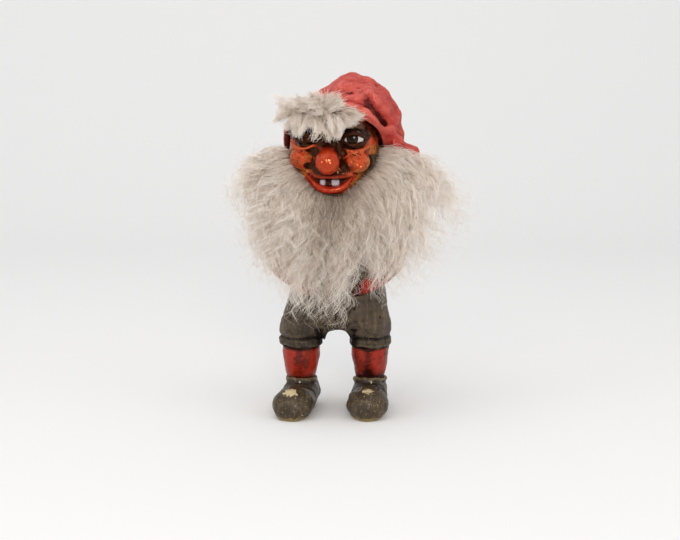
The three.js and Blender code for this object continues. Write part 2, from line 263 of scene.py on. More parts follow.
def facet(block, x, z, way, size):  # a small flat spot on the front, turned towards "way"
    at = [int(round((v - block["low"][i]) / block["voxel"])) for i, v in ((0, x), (2, z))]
    column = block["d"][at[0], :, at[1]]
    i = int(np.argmax(column < 0))
    y = block["low"][1] + block["voxel"] * (i - 1 + column[i - 1] / (column[i - 1] - column[i]))
    way = np.asarray(way) / np.linalg.norm(way)
    part, px, py, pz = window(block, (x - size, y - size, z - size), (x + size, y + size, z + size))
    px, py, pz = px - x, py - y, pz - z
    flat = px * way[0] + py * way[1] + pz * way[2]
    near = 1 - step(0.6 * size, size, np.sqrt(px**2 + py**2 + pz**2))
    block["d"][part] += ((flat - block["d"][part]) * near).astype(np.float32)


def hollows(block, points, reach):  # near 1 in a crease, near -1 on an edge
    field = boxBlur(np.clip(block["d"], -reach, reach), max(1, round(reach / block["voxel"])))
    return np.clip(-sampled(block, field, points) / (0.28 * reach), -1, 1)


def meshFrom(name, points, *faceSets):  # each set holds faces of one number of corners
    corners = np.concatenate([faces.ravel() for faces in faceSets]).astype(np.int32)
    counts = np.concatenate([np.full(len(faces), faces.shape[1], np.int32) for faces in faceSets])
    mesh = bpy.data.meshes.new(name)
    mesh.vertices.add(len(points))
    mesh.vertices.foreach_set("co", np.asarray(points, np.float32).ravel())
    mesh.loops.add(len(corners))
    mesh.loops.foreach_set("vertex_index", corners)
    mesh.polygons.add(len(counts))
    mesh.polygons.foreach_set("loop_start", (np.cumsum(counts) - counts).astype(np.int32))
    mesh.update(calc_edges=True)
    mesh.shade_smooth()
    return mesh


def cast(name, block, place, body, replaced):  # skins a block; returns the piece and its points
    grid = openvdb.FloatGrid(50.0)
    grid.copyFromArray(block["d"])
    points, quads = grid.convertToQuads(isovalue=0.0)
    points = points * block["voxel"] + block["low"]
    corners = points[quads]
    volume = np.einsum("ij,ij->i", corners[:, 0], np.cross(corners[:, 1], corners[:, 2])).sum()
    if volume < 0:
        quads = quads[:, ::-1]
    piece = bpy.data.objects.new(name, meshFrom(name, place(points), quads))
    bpy.context.collection.objects.link(piece)
    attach(piece, body)
    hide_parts(replaced)
    return piece, points


def setMask(piece, name, values):
    layer = piece.data.attributes.new(name, "FLOAT", "POINT")
    layer.data.foreach_set("value", np.clip(values, 0, 1).astype(np.float32))


def step(low, high, values):
    t = np.clip((values - low) / (high - low), 0, 1)
    return t * t * (3 - 2 * t)


# the stage: paper sweep, soft boxes, camera

stage = {"paper": "#f3f3f2", "camDistance": 0.800, "camHeight": 0.2112, "camSide": 0.0037, "aimHeight": 0.0874,
         "lens": 69.1, "topPower": 5.2, "frontPower": 4.6, "sidePower": 1.6, "windowPower": 1.2,
         "air": "#f4f5f8", "airLight": 0.73}

bodyMiddle = standing([0, 0, 0])


def paperSheet():  # the sheet runs level under the figure and curls up far behind it
    material = emptyMaterial("matt backdrop paper")  # uncoated paper: an even white without a shine
    tree = material.node_tree
    shader = addNode(tree, "ShaderNodeBsdfPrincipled", None, {"Base Color": linear(stage["paper"]), "Roughness": 0.9})
    addNode(tree, "ShaderNodeOutputMaterial", None, {"Surface": shader.outputs[0]})
    profile = [(-3.0, 0.0), (0.75, 0.0)]
    profile += [(0.75 + 0.5 * math.sin(a), 0.5 - 0.5 * math.cos(a)) for a in np.linspace(0.1, math.pi / 2, 14)]
    profile += [(1.25, 3.5)]
    points = [(x, y, z) for y, z in profile for x in (-4.0, 4.0)]
    quads = np.array([(2 * i, 2 * i + 1, 2 * i + 3, 2 * i + 2) for i in range(len(profile) - 1)])
    sheet = bpy.data.objects.new("backdrop", meshFrom("backdrop", points, quads))
    dress(sheet, material)
    bpy.context.collection.objects.link(sheet)


def softBox(name, place, aim, size, power, colour="#ffffff"):
    light = bpy.data.lights.new(name, "AREA")
    light.shape, light.size, light.size_y, light.energy = "RECTANGLE", size[0], size[1], power
    light.color = linear(colour)[:3]
    lamp = bpy.data.objects.new(name, light)
    lamp.location = place
    lamp.rotation_euler = (Vector(aim) - Vector(place)).to_track_quat("-Z", "Y").to_euler()
    bpy.context.collection.objects.link(lamp)


paperSheet()
softBox("top soft box", (-0.25, -0.35, 1.35), (0, 0, 0.1), (1.5, 1.2), stage["topPower"])
softBox("left soft box", (-1.3, -0.8, 0.75), (0, 0, 0.12), (0.9, 1.1), stage["sidePower"])
softBox("right soft box", (1.3, -0.7, 0.75), (0, 0, 0.12), (0.9, 1.1), stage["sidePower"])
softBox("front lamp", (0.10, -1.35, 0.60), (0, 0, 0.12), (0.3, 0.26), stage["frontPower"], "#fff4e6")
softBox("small window lamp", (-0.42, -1.2, 0.85), (0, 0, 0.15), (0.16, 0.22), stage["windowPower"], "#fff1df")

world = bpy.data.worlds.new("studio air")
world.use_nodes = True
background = world.node_tree.nodes["Background"]
background.inputs["Color"].default_value = linear(stage["air"])
background.inputs["Strength"].default_value = stage["airLight"]
bpy.context.scene.world = world
bpy.context.scene.view_settings.view_transform = "Standard"

camera = bpy.data.objects.new("camera", bpy.data.cameras.new("camera"))
camera.data.lens, camera.data.sensor_width = stage["lens"], 36
camX = bodyMiddle[0] + stage["camSide"]
camera.location = (camX, bodyMiddle[1] - stage["camDistance"], stage["camHeight"])
aim = Vector((camX, bodyMiddle[1], stage["aimHeight"])) - camera.location
camera.rotation_euler = aim.to_track_quat("-Z", "Y").to_euler()
bpy.context.collection.objects.link(camera)
bpy.context.scene.camera = camera
print("stage ready")


# head: linden wood, carved with a gouge, painted and varnished, with a dark wash and painted shade in the hollows

headLook = {"voxel": 0.42, "lumpSize": 9, "lumpHeight": 0.22, "toolSize": 3.2, "toolHeight": 0.07,
            "base": ("#a8321b", "#c74a22"), "washAndShade": "#160b07", "ochre": "#b8743a", "lips": "#9f2012", "brows": "#43362d",
            "flush": "#dd6c4a", "stain": "#3d150b", "roughness": 0.13, "mottle": 7, "bump": 0.03, "shine": 1.0,
            "tint": "#ffb782"}
headRings = [[130, 0, 0, 9.6, 9.4], [133, 0, -3.5, 12, 13.5], [137, 0, -5, 16, 18.5], [143, 0, -4, 21, 22.3],
             [152, 0, -1.5, 25.6, 24.8], [162, 0, 0, 27.2, 26], [172, 0, 0.5, 27, 26.6], [181, 1, 1, 23.4, 24.4],
             [187, 2, 1.5, 17, 17], [190.5, 3, 1.5, 8, 8]]
eyeLeft, eyeRight = (14.2, -20.2, 169.6), (-14.8, -19.6, 171.0)
noseAt = (0.3, -33.0, 156.4)
lowerLip = [[-12.6, -22.0, 147.6, 0.8], [-7.0, -25.0, 141.4, 1.9], [0.8, -26.6, 139.2, 2.5], [8.6, -25.0, 141.0, 2.0],
            [13.2, -22.2, 146.4, 0.8]]
upperLip = [[-13.0, -22.4, 149.0, 0.7], [-6.5, -26.0, 147.8, 1.2], [0.6, -27.2, 147.5, 1.4], [7.5, -26.0, 147.5, 1.2],
            [13.9, -22.6, 147.9, 0.7]]
mouthLine = [[-12.0, -23.3, 148.2, 0.7], [-6.6, -26.0, 144.6, 1.9], [0.7, -27.0, 143.4, 2.6],
             [8.2, -26.0, 144.2, 2.0], [12.8, -23.5, 147.0, 0.7]]
cheekSpot = (14.6, 154.8)  # the middle of the rings cut into the left cheek
browLeft = [[7.5, -26.2, 174.0], [13.5, -26.8, 177.2], [19.5, -23.2, 176.6], [24.6, -16.5, 172.6]]


def carveHead():
    clay = newBlock((-31, -38, 127), (31, 31, 193), headLook["voxel"])
    stack(clay, headRings)
    ball(clay, (0, -20.2, 177), (21.5, 6, 4.6), soft=5)
    ball(clay, (15.4, -21.0, 156.2), (9.0, 8.4, 7.0), soft=2.4)
    ball(clay, (-16.4, -20.4, 157.8), (7.6, 7.6, 6.4), soft=2.2)
    ball(clay, (0.5, -18.6, 149), (14.5, 8.2, 6.6), soft=3.5)
    ball(clay, (0.5, -16.5, 139), (11.5, 9.6, 6.6), soft=4)
    rod(clay, [[0.0, -22.5, 172, 3.2], [0.2, -25.4, 166, 3.8], [0.3, -28.4, 160.5, 5.0]], soft=3)
    for side, eye in ((1, eyeLeft), (-1, eyeRight)):
        ball(clay, (eye[0], eye[1] - 6.2, eye[2] + 0.2), (9.0, 4.6, 5.6 if side > 0 else 4.8), "cut", 2.4)
        up = 0.8 if side > 0 else 2.6
        rod(clay, [[side * 9, -25.9, 163.4 + up, 0.7], [side * 14, -26.4, 161.4 + up, 1.0],
                   [side * 19, -24.1, 162.0 + up, 1.0], [side * 23.5, -18.8, 164.5 + up, 0.7]], soft=2.2)
        groove(clay, [[side * 8.2, -28.6, 157], [side * 10.6, -27.5, 152.6], [side * 13.6, -25.2, 149.6]], 1.5, 1.5)
        groove(clay, [[side * 10.0, -27.0, 162.6 + up], [side * 15, -27.2, 160.0 + up], [side * 21, -24, 161 + up]],
               0.6, 0.35)
    # the wide left eye: two lids that meet at the corners
    rod(clay, [[7.6, -23.8, 168.6, 0.9], [10.4, -26.0, 172.0, 1.2], [14.5, -27.0, 173.3, 1.4], [18.9, -25.0, 172.3, 1.3],
               [22.2, -20.4, 169.6, 1.0]], soft=0.8)
    rod(clay, [[7.6, -23.8, 168.8, 0.8], [10.8, -25.8, 167.0, 1.0], [14.8, -26.6, 166.2, 1.1], [19.0, -24.8, 166.9, 1.0],
               [22.4, -20.4, 169.0, 0.8]], soft=0.8)
    # the squinting right eye: a heavy upper lid over a raised lower one
    rod(clay, [[-7.6, -24.8, 170.6, 0.9], [-11.5, -26.4, 171.5, 1.8], [-16.5, -25.7, 173.0, 2.0],
               [-22.4, -19.8, 175.2, 1.6]], soft=1.0)
    rod(clay, [[-7.6, -25.0, 169.4, 0.9], [-12.0, -26.3, 168.5, 1.3], [-17.0, -25.1, 169.3, 1.4],
               [-23.2, -19.5, 171.8, 1.0]], soft=1.0)
    rod(clay, upperLip, soft=1.2)
    rod(clay, mouthLine, "cut", 0.5)
    rod(clay, lowerLip, soft=0.8)
    groove(clay, [[-9, -24.5, 138.6], [0.8, -26.6, 136.2], [10, -24.5, 138.4]], 1.0, 0.9)
    # smile lines, crow's feet and the rings cut into the left cheek
    groove(clay, [[14.6, -23.6, 150.6], [17.6, -20.5, 147.0], [18.0, -17.5, 142.4]], 0.8, 0.7)
    groove(clay, [[-13.8, -23.8, 150.8], [-16.8, -20.5, 147.2], [-17.2, -17.5, 142.6]], 0.8, 0.7)
    for z0, z1 in ((168, 172.5), (165.8, 167.2), (163.2, 161.2)):
        groove(clay, [[23.4, -17.5, z0], [25.6, -12.5, 0.5 * (z0 + z1)], [27, -7, z1]], 0.55, 0.55)
        groove(clay, [[-23.4, -17.5, z0], [-25.6, -12.5, 0.5 * (z0 + z1)], [-27, -7, z1]], 0.55, 0.55)
    for radius, start, end in ((1.7, -20, 300), (3.3, 150, 330), (5.4, 35, 150), (7.2, 40, 140)):
        turns = np.radians(np.linspace(start, end, 9))
        ring = np.stack([cheekSpot[0] + radius * np.cos(turns), np.full(9, -28.0),
                         cheekSpot[1] + radius * np.sin(turns)], 1)
        off = ((ring[:, 0] - 15.4) / 9.0)**2 + ((ring[:, 2] - 156.2) / 7.0)**2
        ring[:, 1] = -21.0 - 8.4 * np.sqrt(np.clip(1 - off, 0.05, 1))
        groove(clay, ring, 0.6, 0.26, 16)
    lumps(clay, headLook["lumpSize"], headLook["lumpHeight"], 3)
    lumps(clay, headLook["toolSize"], headLook["toolHeight"], 4)
    return clay


def pathNear(points, path, pieces=14):
    line = throughPoints(path, pieces)
    d, t = alongPath(points[:, 0], points[:, 1], points[:, 2], line[:, :3])
    return d, t, line


def oval(x, z, centre, size, soft):  # 1 inside an oval on the front, fading out between the two values of "soft"
    return 1 - step(soft[0], soft[1], ((x - centre[0]) / size[0])**2 + ((z - centre[1]) / size[1])**2)


def paintHead(piece, clay, points):
    x, y, z = points.T
    crease = hollows(clay, points, 1.6)
    broad = hollows(clay, points, 3.4)
    front = step(-8, -16, y)
    # dark wash and painted shade in the creases and the broad hollows
    washAndShade = 0.9 * step(0.12, 0.75, crease) + 0.55 * step(0.1, 0.7, broad)
    # dark wash and painted shade around the eyes, over the bridge, beside the mouth and in the hollows beside the
    # bridge
    for strength, centre, size, soft in (
            (1.1, (eyeLeft[0], eyeLeft[2] + 0.6), (9.6, 6.4), (0.55, 1.15)),
            (1.1, (eyeRight[0], eyeRight[2] + 0.6), (10.4, 6.0), (0.55, 1.15)),
            (0.95, (0.5, 169.0), (12.5, 6.0), (0.25, 1.1)),
            (0.9, (-12.0, 153.8), (3.6, 2.4), (0.4, 1.2)),
            (0.8, (7.6, 163.4), (4.4, 2.4), (0.3, 1.2)),
            (0.8, (-8.4, 162.2), (3.8, 3.4), (0.3, 1.2))):
        washAndShade += strength * oval(x, z, centre, size, soft) * front
    # painted shade under the nose: a dark ring beside and below it, and a band over the upper lip
    ringOff = np.hypot(x - noseAt[0], (z - noseAt[2]) * 0.95)
    under = step(161.5, 156, z) * step(146.5, 150.5, z)
    washAndShade += 0.85 * step(5, 7.5, ringOff) * (1 - step(9.6, 12.6, ringOff)) * under * front
    washAndShade += 0.35 * (1 - step(2.5, 5.5, np.abs(z - 150.4))) * step(14, 11, np.abs(x)) * front
    d, t, line = pathNear(points, mouthLine)
    inMouth = d < np.interp(t, np.linspace(0, 1, len(line)), line[:, 3]) + 0.35
    lips = np.zeros(len(points))
    # the lips lighten the darkening; the upper lip less, with a little added back
    for lip, bright, darkening in ((lowerLip, 1.0, 0.0), (upperLip, 0.6, 0.22)):
        d, t, line = pathNear(points, lip)
        near = 1 - step(0.25, 0.9, d - np.interp(t, np.linspace(0, 1, len(line)), line[:, 3]))
        washAndShade = washAndShade * (1 - 0.65 * bright * near) + darkening * near
        lips = np.maximum(lips, bright * near)
    washAndShade += 1.2 * inMouth * (lips < 0.75)
    away = np.hypot(x - cheekSpot[0], z - cheekSpot[1])
    angle = np.degrees(np.arctan2(z - cheekSpot[1], x - cheekSpot[0])) % 360
    for radius, start, end in ((1.7, 0, 300), (3.3, 150, 330), (5.4, 35, 150), (7.2, 40, 140), (4.4, 195, 290)):
        line = 1 - step(0.2, 0.65, np.abs(away - radius + 0.25 * np.sin(3 * np.radians(angle))))
        washAndShade += 0.36 * line * (angle > start) * (angle < end) * step(-20, -24, y)
    washAndShade += 0.9 * (1 - step(134.5, 138.0, z)) * front  # shade where the wool begins
    # painted shade at the temples, under the hat's brim
    temple = step(19, 25, np.abs(x)) * step(167, 172, z) + step(172, 178, z) * step(14, 24, np.abs(x))
    washAndShade += 0.75 * np.clip(temple, 0, 1)
    brow = 1 - step(2.8, 4.2, pathNear(points, browLeft)[0])
    brow = np.maximum(brow, 1 - step(2.2, 3.2, pathNear(points, [[-q[0], q[1], q[2]] for q in browLeft])[0]))
    jaw = step(12, 18, np.abs(x)) * (1 - step(150, 155, z)) + step(20.5, 25, np.abs(x)) * (1 - step(163, 169, z))
    ochre = 0.75 * np.clip(jaw, 0, 1) + 0.8 * step(6, 11, x) * (1 - step(142, 146, z))
    ochre += 0.45 * oval(x, z, (-12.4, 159.5), (2.6, 3.6), (0.4, 1.2))
    ochre += 0.8 * oval(x, z, (-14.5, 149.5), (3.0, 2.4), (0.4, 1.2))
    setMask(piece, "washAndShade", washAndShade)
    setMask(piece, "lips", lips)
    setMask(piece, "brow", brow)
    setMask(piece, "ochre", ochre)
    setMask(piece, "edge", step(0.25, 0.9, -crease))


paintDefaults = {"coat": 0.0, "mottle": 14.0, "bump": 0.05, "shine": 0.4, "tint": "#ffffff"}  # lengths in millimetres
brushGrain = 1.5  # millimetres: coarser than real bristle marks, which would be too fine to show


def oldPaint(name, look):  # start of every painted surface: brushed colour, a mask for the dark wash and painted shade, and an "edge" mask
    look = paintDefaults | look
    material = emptyMaterial(name)
    tree = material.node_tree
    place = addNode(tree, "ShaderNodeTexCoord").outputs["Object"]
    wide = addNode(tree, "ShaderNodeTexNoise", None, {"Vector": place, "Scale": 1000 / look["mottle"], "Detail": 4.0,
                                                      "Roughness": 0.6})
    fine = addNode(tree, "ShaderNodeTexNoise", None, {"Vector": place, "Scale": 1000 / brushGrain, "Detail": 5.0,
                                                      "Roughness": 0.65})
    washAndShade = addNode(tree, "ShaderNodeAttribute", {"attribute_name": "washAndShade"}).outputs["Fac"]
    edge = addNode(tree, "ShaderNodeAttribute", {"attribute_name": "edge"}).outputs["Fac"]
    tone = addNode(tree, "ShaderNodeMapRange", None, {"Value": wide.outputs[0], "From Min": 0.36, "From Max": 0.66})
    body = addNode(tree, "ShaderNodeMix", {"data_type": "RGBA"}, {0: tone.outputs[0], 6: linear(look["base"][0]),
                                                                7: linear(look["base"][1])})
    return {"material": material, "tree": tree, "place": place, "wide": wide.outputs[0], "fine": fine.outputs[0],
            "washAndShade": washAndShade, "edge": edge, "colour": body.outputs[2], "look": look}


def layer(paint, mask, colour, strength=1.0, breakUp=0.0, limits=(0.0, 1.0)):  # one more coat over what is there
    tree = paint["tree"]
    if breakUp:
        rough = addNode(tree, "ShaderNodeMath", {"operation": "MULTIPLY_ADD"}, {0: paint["fine"], 1: breakUp,
                                                                              2: -0.5 * breakUp})
        mask = addNode(tree, "ShaderNodeMath", {"operation": "ADD"}, {0: mask, 1: rough.outputs[0]}).outputs[0]
    reach = addNode(tree, "ShaderNodeMapRange", {"interpolation_type": "SMOOTHSTEP"},
                    {"Value": mask, "From Min": limits[0], "From Max": limits[1], "To Max": strength})
    mix = addNode(tree, "ShaderNodeMix", {"data_type": "RGBA"}, {0: reach.outputs[0], 6: paint["colour"],
                                                               7: linear(colour)})
    paint["colour"] = mix.outputs[2]
    return reach.outputs[0]


def finishPaint(paint, pieces=(), extraHeight=None, extraBump=0.1):  # the dark wash with painted shade, the shine and the brush marks
    tree, look = paint["tree"], paint["look"]
    # darkest where the wash and painted shade lie, and less shiny there
    washedAndShaded = layer(paint, paint["washAndShade"], look["washAndShade"], 0.96, 0.5, (0.1, 0.9))
    rough = addNode(tree, "ShaderNodeMapRange", None, {
        "Value": paint["fine"], "From Min": 0.3, "From Max": 0.7, "To Min": look["roughness"] - 0.07,
        "To Max": look["roughness"] + 0.08})
    bump = addNode(tree, "ShaderNodeBump", None, {"Height": paint["fine"], "Strength": 1.0,
                                                  "Distance": look["bump"] / 1000})
    if extraHeight is not None:
        bump = addNode(tree, "ShaderNodeBump", None, {"Height": extraHeight, "Strength": 1.0,
                                                      "Distance": extraBump / 1000, "Normal": bump.outputs[0]})
    shine = addNode(tree, "ShaderNodeMath", {"operation": "MULTIPLY_ADD"}, {0: washedAndShaded, 1: -0.65 * look["shine"],
                                                                          2: look["shine"]})
    shader = addNode(tree, "ShaderNodeBsdfPrincipled", None, {
        "Base Color": paint["colour"], "Roughness": rough.outputs[0], "IOR": 1.45, "Normal": bump.outputs[0],
        "Specular IOR Level": shine.outputs[0], "Specular Tint": linear(look["tint"]),
        "Coat Weight": look["coat"], "Coat Roughness": 0.09})
    addNode(tree, "ShaderNodeOutputMaterial", None, {"Surface": shader.outputs[0]})
    for piece in pieces:
        dress(piece, paint["material"])
    return shader


# between the camera and the small front lamp, for the spots that catch its light
glintWay = np.diff(headward([[0, 0, 0], [0.043, -0.98, 0.197]]), axis=0)[0]


def catchLight(clay, spots):
    for spot, size in spots:
        x, _, z = headward(spot)
        facet(clay, x, z, glintWay, size)


headClay = carveHead()
catchLight(headClay, (((10.9, -29, 156.5), 1.3), ((12.6, -28.6, 155.9), 1.2), ((14.6, -28, 154.8), 1.5),
                      ((16.4, -27, 153.8), 1.4), ((-18.1, -27, 156.9), 1.1)))
head, headPoints = cast("carvedHead", headClay, turned, "head", "head")
paintHead(head, headClay, headPoints)
# casein paint under shellac: a warm red-orange that turns brown-black under the dark wash and the painted shade
fleshPaint = oldPaint("varnished flesh paint", headLook)
tree = fleshPaint["tree"]
ochreMask, lipMask, browMask = [addNode(tree, "ShaderNodeAttribute", {"attribute_name": mask}).outputs["Fac"]
                                for mask in ("ochre", "lips", "brow")]
layer(fleshPaint, ochreMask, headLook["ochre"], 0.85, 0.9, (0.15, 0.8))
layer(fleshPaint, fleshPaint["wide"], "#6b2412", 0.7, 0.4, (0.52, 0.7))
# lighter orange on the rounds: painted highlight
layer(fleshPaint, fleshPaint["edge"], "#d0643a", 0.35, 0.8, (0.25, 1.0))
stain = addNode(tree, "ShaderNodeTexNoise", None, {"Vector": fleshPaint["place"], "Scale": 330.0, "Detail": 4.0,
                                                   "Distortion": 0.6})  # blotches of about 3 mm
layer(fleshPaint, stain.outputs[0], headLook["stain"], 0.8, 0.4, (0.52, 0.72))
glow = addNode(tree, "ShaderNodeTexNoise", None, {"Vector": fleshPaint["place"], "Scale": 210.0, "Detail": 2.0})
layer(fleshPaint, glow.outputs[0], headLook["flush"], 0.45, 0.5, (0.55, 0.75))
layer(fleshPaint, lipMask, headLook["lips"], 0.95, 0.2, (0.2, 0.7))
layer(fleshPaint, browMask, headLook["brows"], 0.95, 1.4, (0.2, 0.7))
finishPaint(fleshPaint, [head])
print("head carved:", len(head.data.polygons), "faces")


# nose: a turned ball whose upper side runs into the bridge

noseLook = {"voxel": 0.3, "lumpSize": 5, "lumpHeight": 0.16, "base": ("#a0270f", "#b13514"), "washAndShade": "#220d07",
            "blotch": "#6e1a0b", "roughness": 0.11, "mottle": 5, "bump": 0.02, "shine": 1.0, "tint": "#ffbb88"}


def carveNose():
    clay = newBlock((-10, -43, 146), (11, -22, 171), noseLook["voxel"])
    ball(clay, noseAt, (7.2, 7.1, 7.3))
    rod(clay, [[0.3, -31.6, 158.6, 5.4], [0.2, -29.0, 162.0, 3.9], [0.1, -26.8, 166.0, 2.4]], soft=2.6)
    lumps(clay, noseLook["lumpSize"], noseLook["lumpHeight"], 8)
    catchLight(clay, (((-2.5, -40, 157.8), 1.5), ((-2.0, -40, 156.6), 1.1), ((-7.0, -39.6, 157.0), 1.15),
                      ((0.4, -38, 152.0), 0.9)))
    return clay


nose, nosePoints = cast("carvedNose", carveNose(), turned, "head", "nose")
# darker where the nose meets the face and over the bridge: painted shade
setMask(nose, "washAndShade", step(-29.0, -25.5, nosePoints[:, 1]) * 0.8 + step(162.6, 166.6, nosePoints[:, 2]))
# the same paint, redder, under a thicker varnish that gives it small sharp glints
nosePaint = oldPaint("varnished nose paint", noseLook)
layer(nosePaint, nosePaint["wide"], noseLook["blotch"], 0.75, 0.4, (0.5, 0.72))
finishPaint(nosePaint, [nose])


# eyes: enamelled glass, set deep between the lids

eyeLook = {"white": "#cfcac6", "shaded": "#5c5550", "iris": "#3c200d", "deepIris": "#2a170c", "rim": "#0a0604",
           "pupil": "#050303", "lining": "#120b08", "irisSize": 3.4, "pupilSize": 1.7, "ballSize": 6.6}


def enamelEye(name, centre, radii, gaze, node, white):
    clay = newBlock(np.array(centre) - 8.5, np.array(centre) + 8.5, 0.25)
    ball(clay, centre, radii)
    facet(clay, gaze[0] + 1.0, gaze[2] + 1.0, glintWay, 1.15)
    eye, _ = cast(name, clay, turned, "head", node)
    material = emptyMaterial(name + " glass")  # clear gloss over painted white, brown and black
    tree = material.node_tree
    place = addNode(tree, "ShaderNodeTexCoord").outputs["Object"]
    away = addNode(tree, "ShaderNodeVectorMath", {"operation": "DISTANCE"},
                   {0: place, 1: tuple(turned(gaze))}).outputs["Value"]
    ray = addNode(tree, "ShaderNodeTexNoise", None, {"Vector": place, "Scale": 900.0, "Detail": 3.0})
    brown = addNode(tree, "ShaderNodeMix", {"data_type": "RGBA"}, {0: ray.outputs[0], 6: linear(eyeLook["deepIris"]),
                                                                 7: linear(eyeLook["iris"])})
    # from the middle outwards: pupil, iris, dark rim, white, lining
    colour, pupil, iris = linear(eyeLook["pupil"]), eyeLook["pupilSize"], eyeLook["irisSize"]
    for start, end, paint in ((pupil - 0.15, pupil + 0.15, brown.outputs[2]),
                              (iris - 0.6, iris - 0.1, linear(eyeLook["rim"])), (iris + 0.1, iris + 0.5, linear(white)),
                              (eyeLook["ballSize"], eyeLook["ballSize"] + 1.2, linear(eyeLook["lining"]))):
        zone = addNode(tree, "ShaderNodeMapRange", None, {"Value": away, "From Min": start / 1000,
                                                          "From Max": end / 1000})
        colour = addNode(tree, "ShaderNodeMix", {"data_type": "RGBA"}, {0: zone.outputs[0], 6: colour,
                                                                      7: paint}).outputs[2]
    shader = addNode(tree, "ShaderNodeBsdfPrincipled", None, {"Base Color": colour, "Roughness": 0.03, "IOR": 1.45,
                                                              "Specular IOR Level": 0.2})
    addNode(tree, "ShaderNodeOutputMaterial", None, {"Surface": shader.outputs[0]})
    dress(eye, material)


enamelEye("leftEye", eyeLeft, (7.0, 5.9, 5.1), (14.2, -26.3, 169.9), "eye_left", eyeLook["white"])
enamelEye("rightEye", eyeRight, (7.2, 5.4, 4.6), (-12.4, -25.3, 170.8), "eye_right", eyeLook["shaded"])

# teeth: two pegs with rounded corners

toothLook = {"voxel": 0.2, "rounding": 1.5, "halfWidths": {"right": 1.7, "left": 2.35}, "base": ("#a597a0", "#c2b6bb"),
             "washAndShade": "#3a201b", "roughness": 0.15, "coat": 0.2, "mottle": 3}
teeth = []
for side, toothX in (("right", -3.6), ("left", 4.0)):
    clay = newBlock((toothX - 5, -28, 139), (toothX + 5, -19, 151), toothLook["voxel"])
    gap = [np.abs(clay["x"] - toothX) - toothLook["halfWidths"][side] + 1.45, np.abs(clay["y"] + 24.1) - 0.25,
           np.abs(clay["z"] - 144.9) - 1.75]
    clay["d"] = (np.sqrt(sum(np.maximum(g, 0)**2 for g in gap)) - toothLook["rounding"]).astype(np.float32)
    tooth, toothPoints = cast("carved_tooth_" + side, clay, turned, "head", "tooth_" + side)
    setMask(tooth, "washAndShade", 0.9 * step(144.6, 145.9, toothPoints[:, 2]))
    teeth.append(tooth)
finishPaint(oldPaint("varnished tooth paint", toothLook), teeth)  # greyish white, glossy, darker at the top towards the gums
print("nose, eyes and teeth ready")


# hat: carved like soft cloth, with a rolled brim, a deep fold and a tail

hatLook = {"voxel": 0.46, "lumpSize": 14, "lumpHeight": 0.7, "foldDepth": 2.9, "base": ("#ad342c", "#cb5347"),
           "washAndShade": "#3b0f0c", "rubbed": "#dd7163", "scratch": "#3d0f10", "roughness": 0.55, "mottle": 14, "bump": 0.11}
hatBounds = ((-33, -35, 146), (60, 35, 210.5))
hatRings = [[144, 0.6, 1.5, 29.8, 30], [156, 1.0, 1.5, 31.2, 31.4], [168, 1.6, 1.5, 31.8, 31.6],
            [178, 2.4, 1.5, 30.8, 30.6],
            [187, 4.6, 2, 27.6, 27.6], [195, 8.2, 2.5, 21.6, 22.4], [201, 10.2, 3, 14.6, 15.8], [205.5, 10.8, 3, 8.0, 9.4],
            [208.3, 10.8, 3, 2.4, 3.0]]
brimLine = np.array([[-40, 203.5], [-30, 193.4], [-24, 187], [-16, 178.6], [-8, 170], [0, 162.4], [8, 157], [18, 152.6],
                     [34, 148.8]])


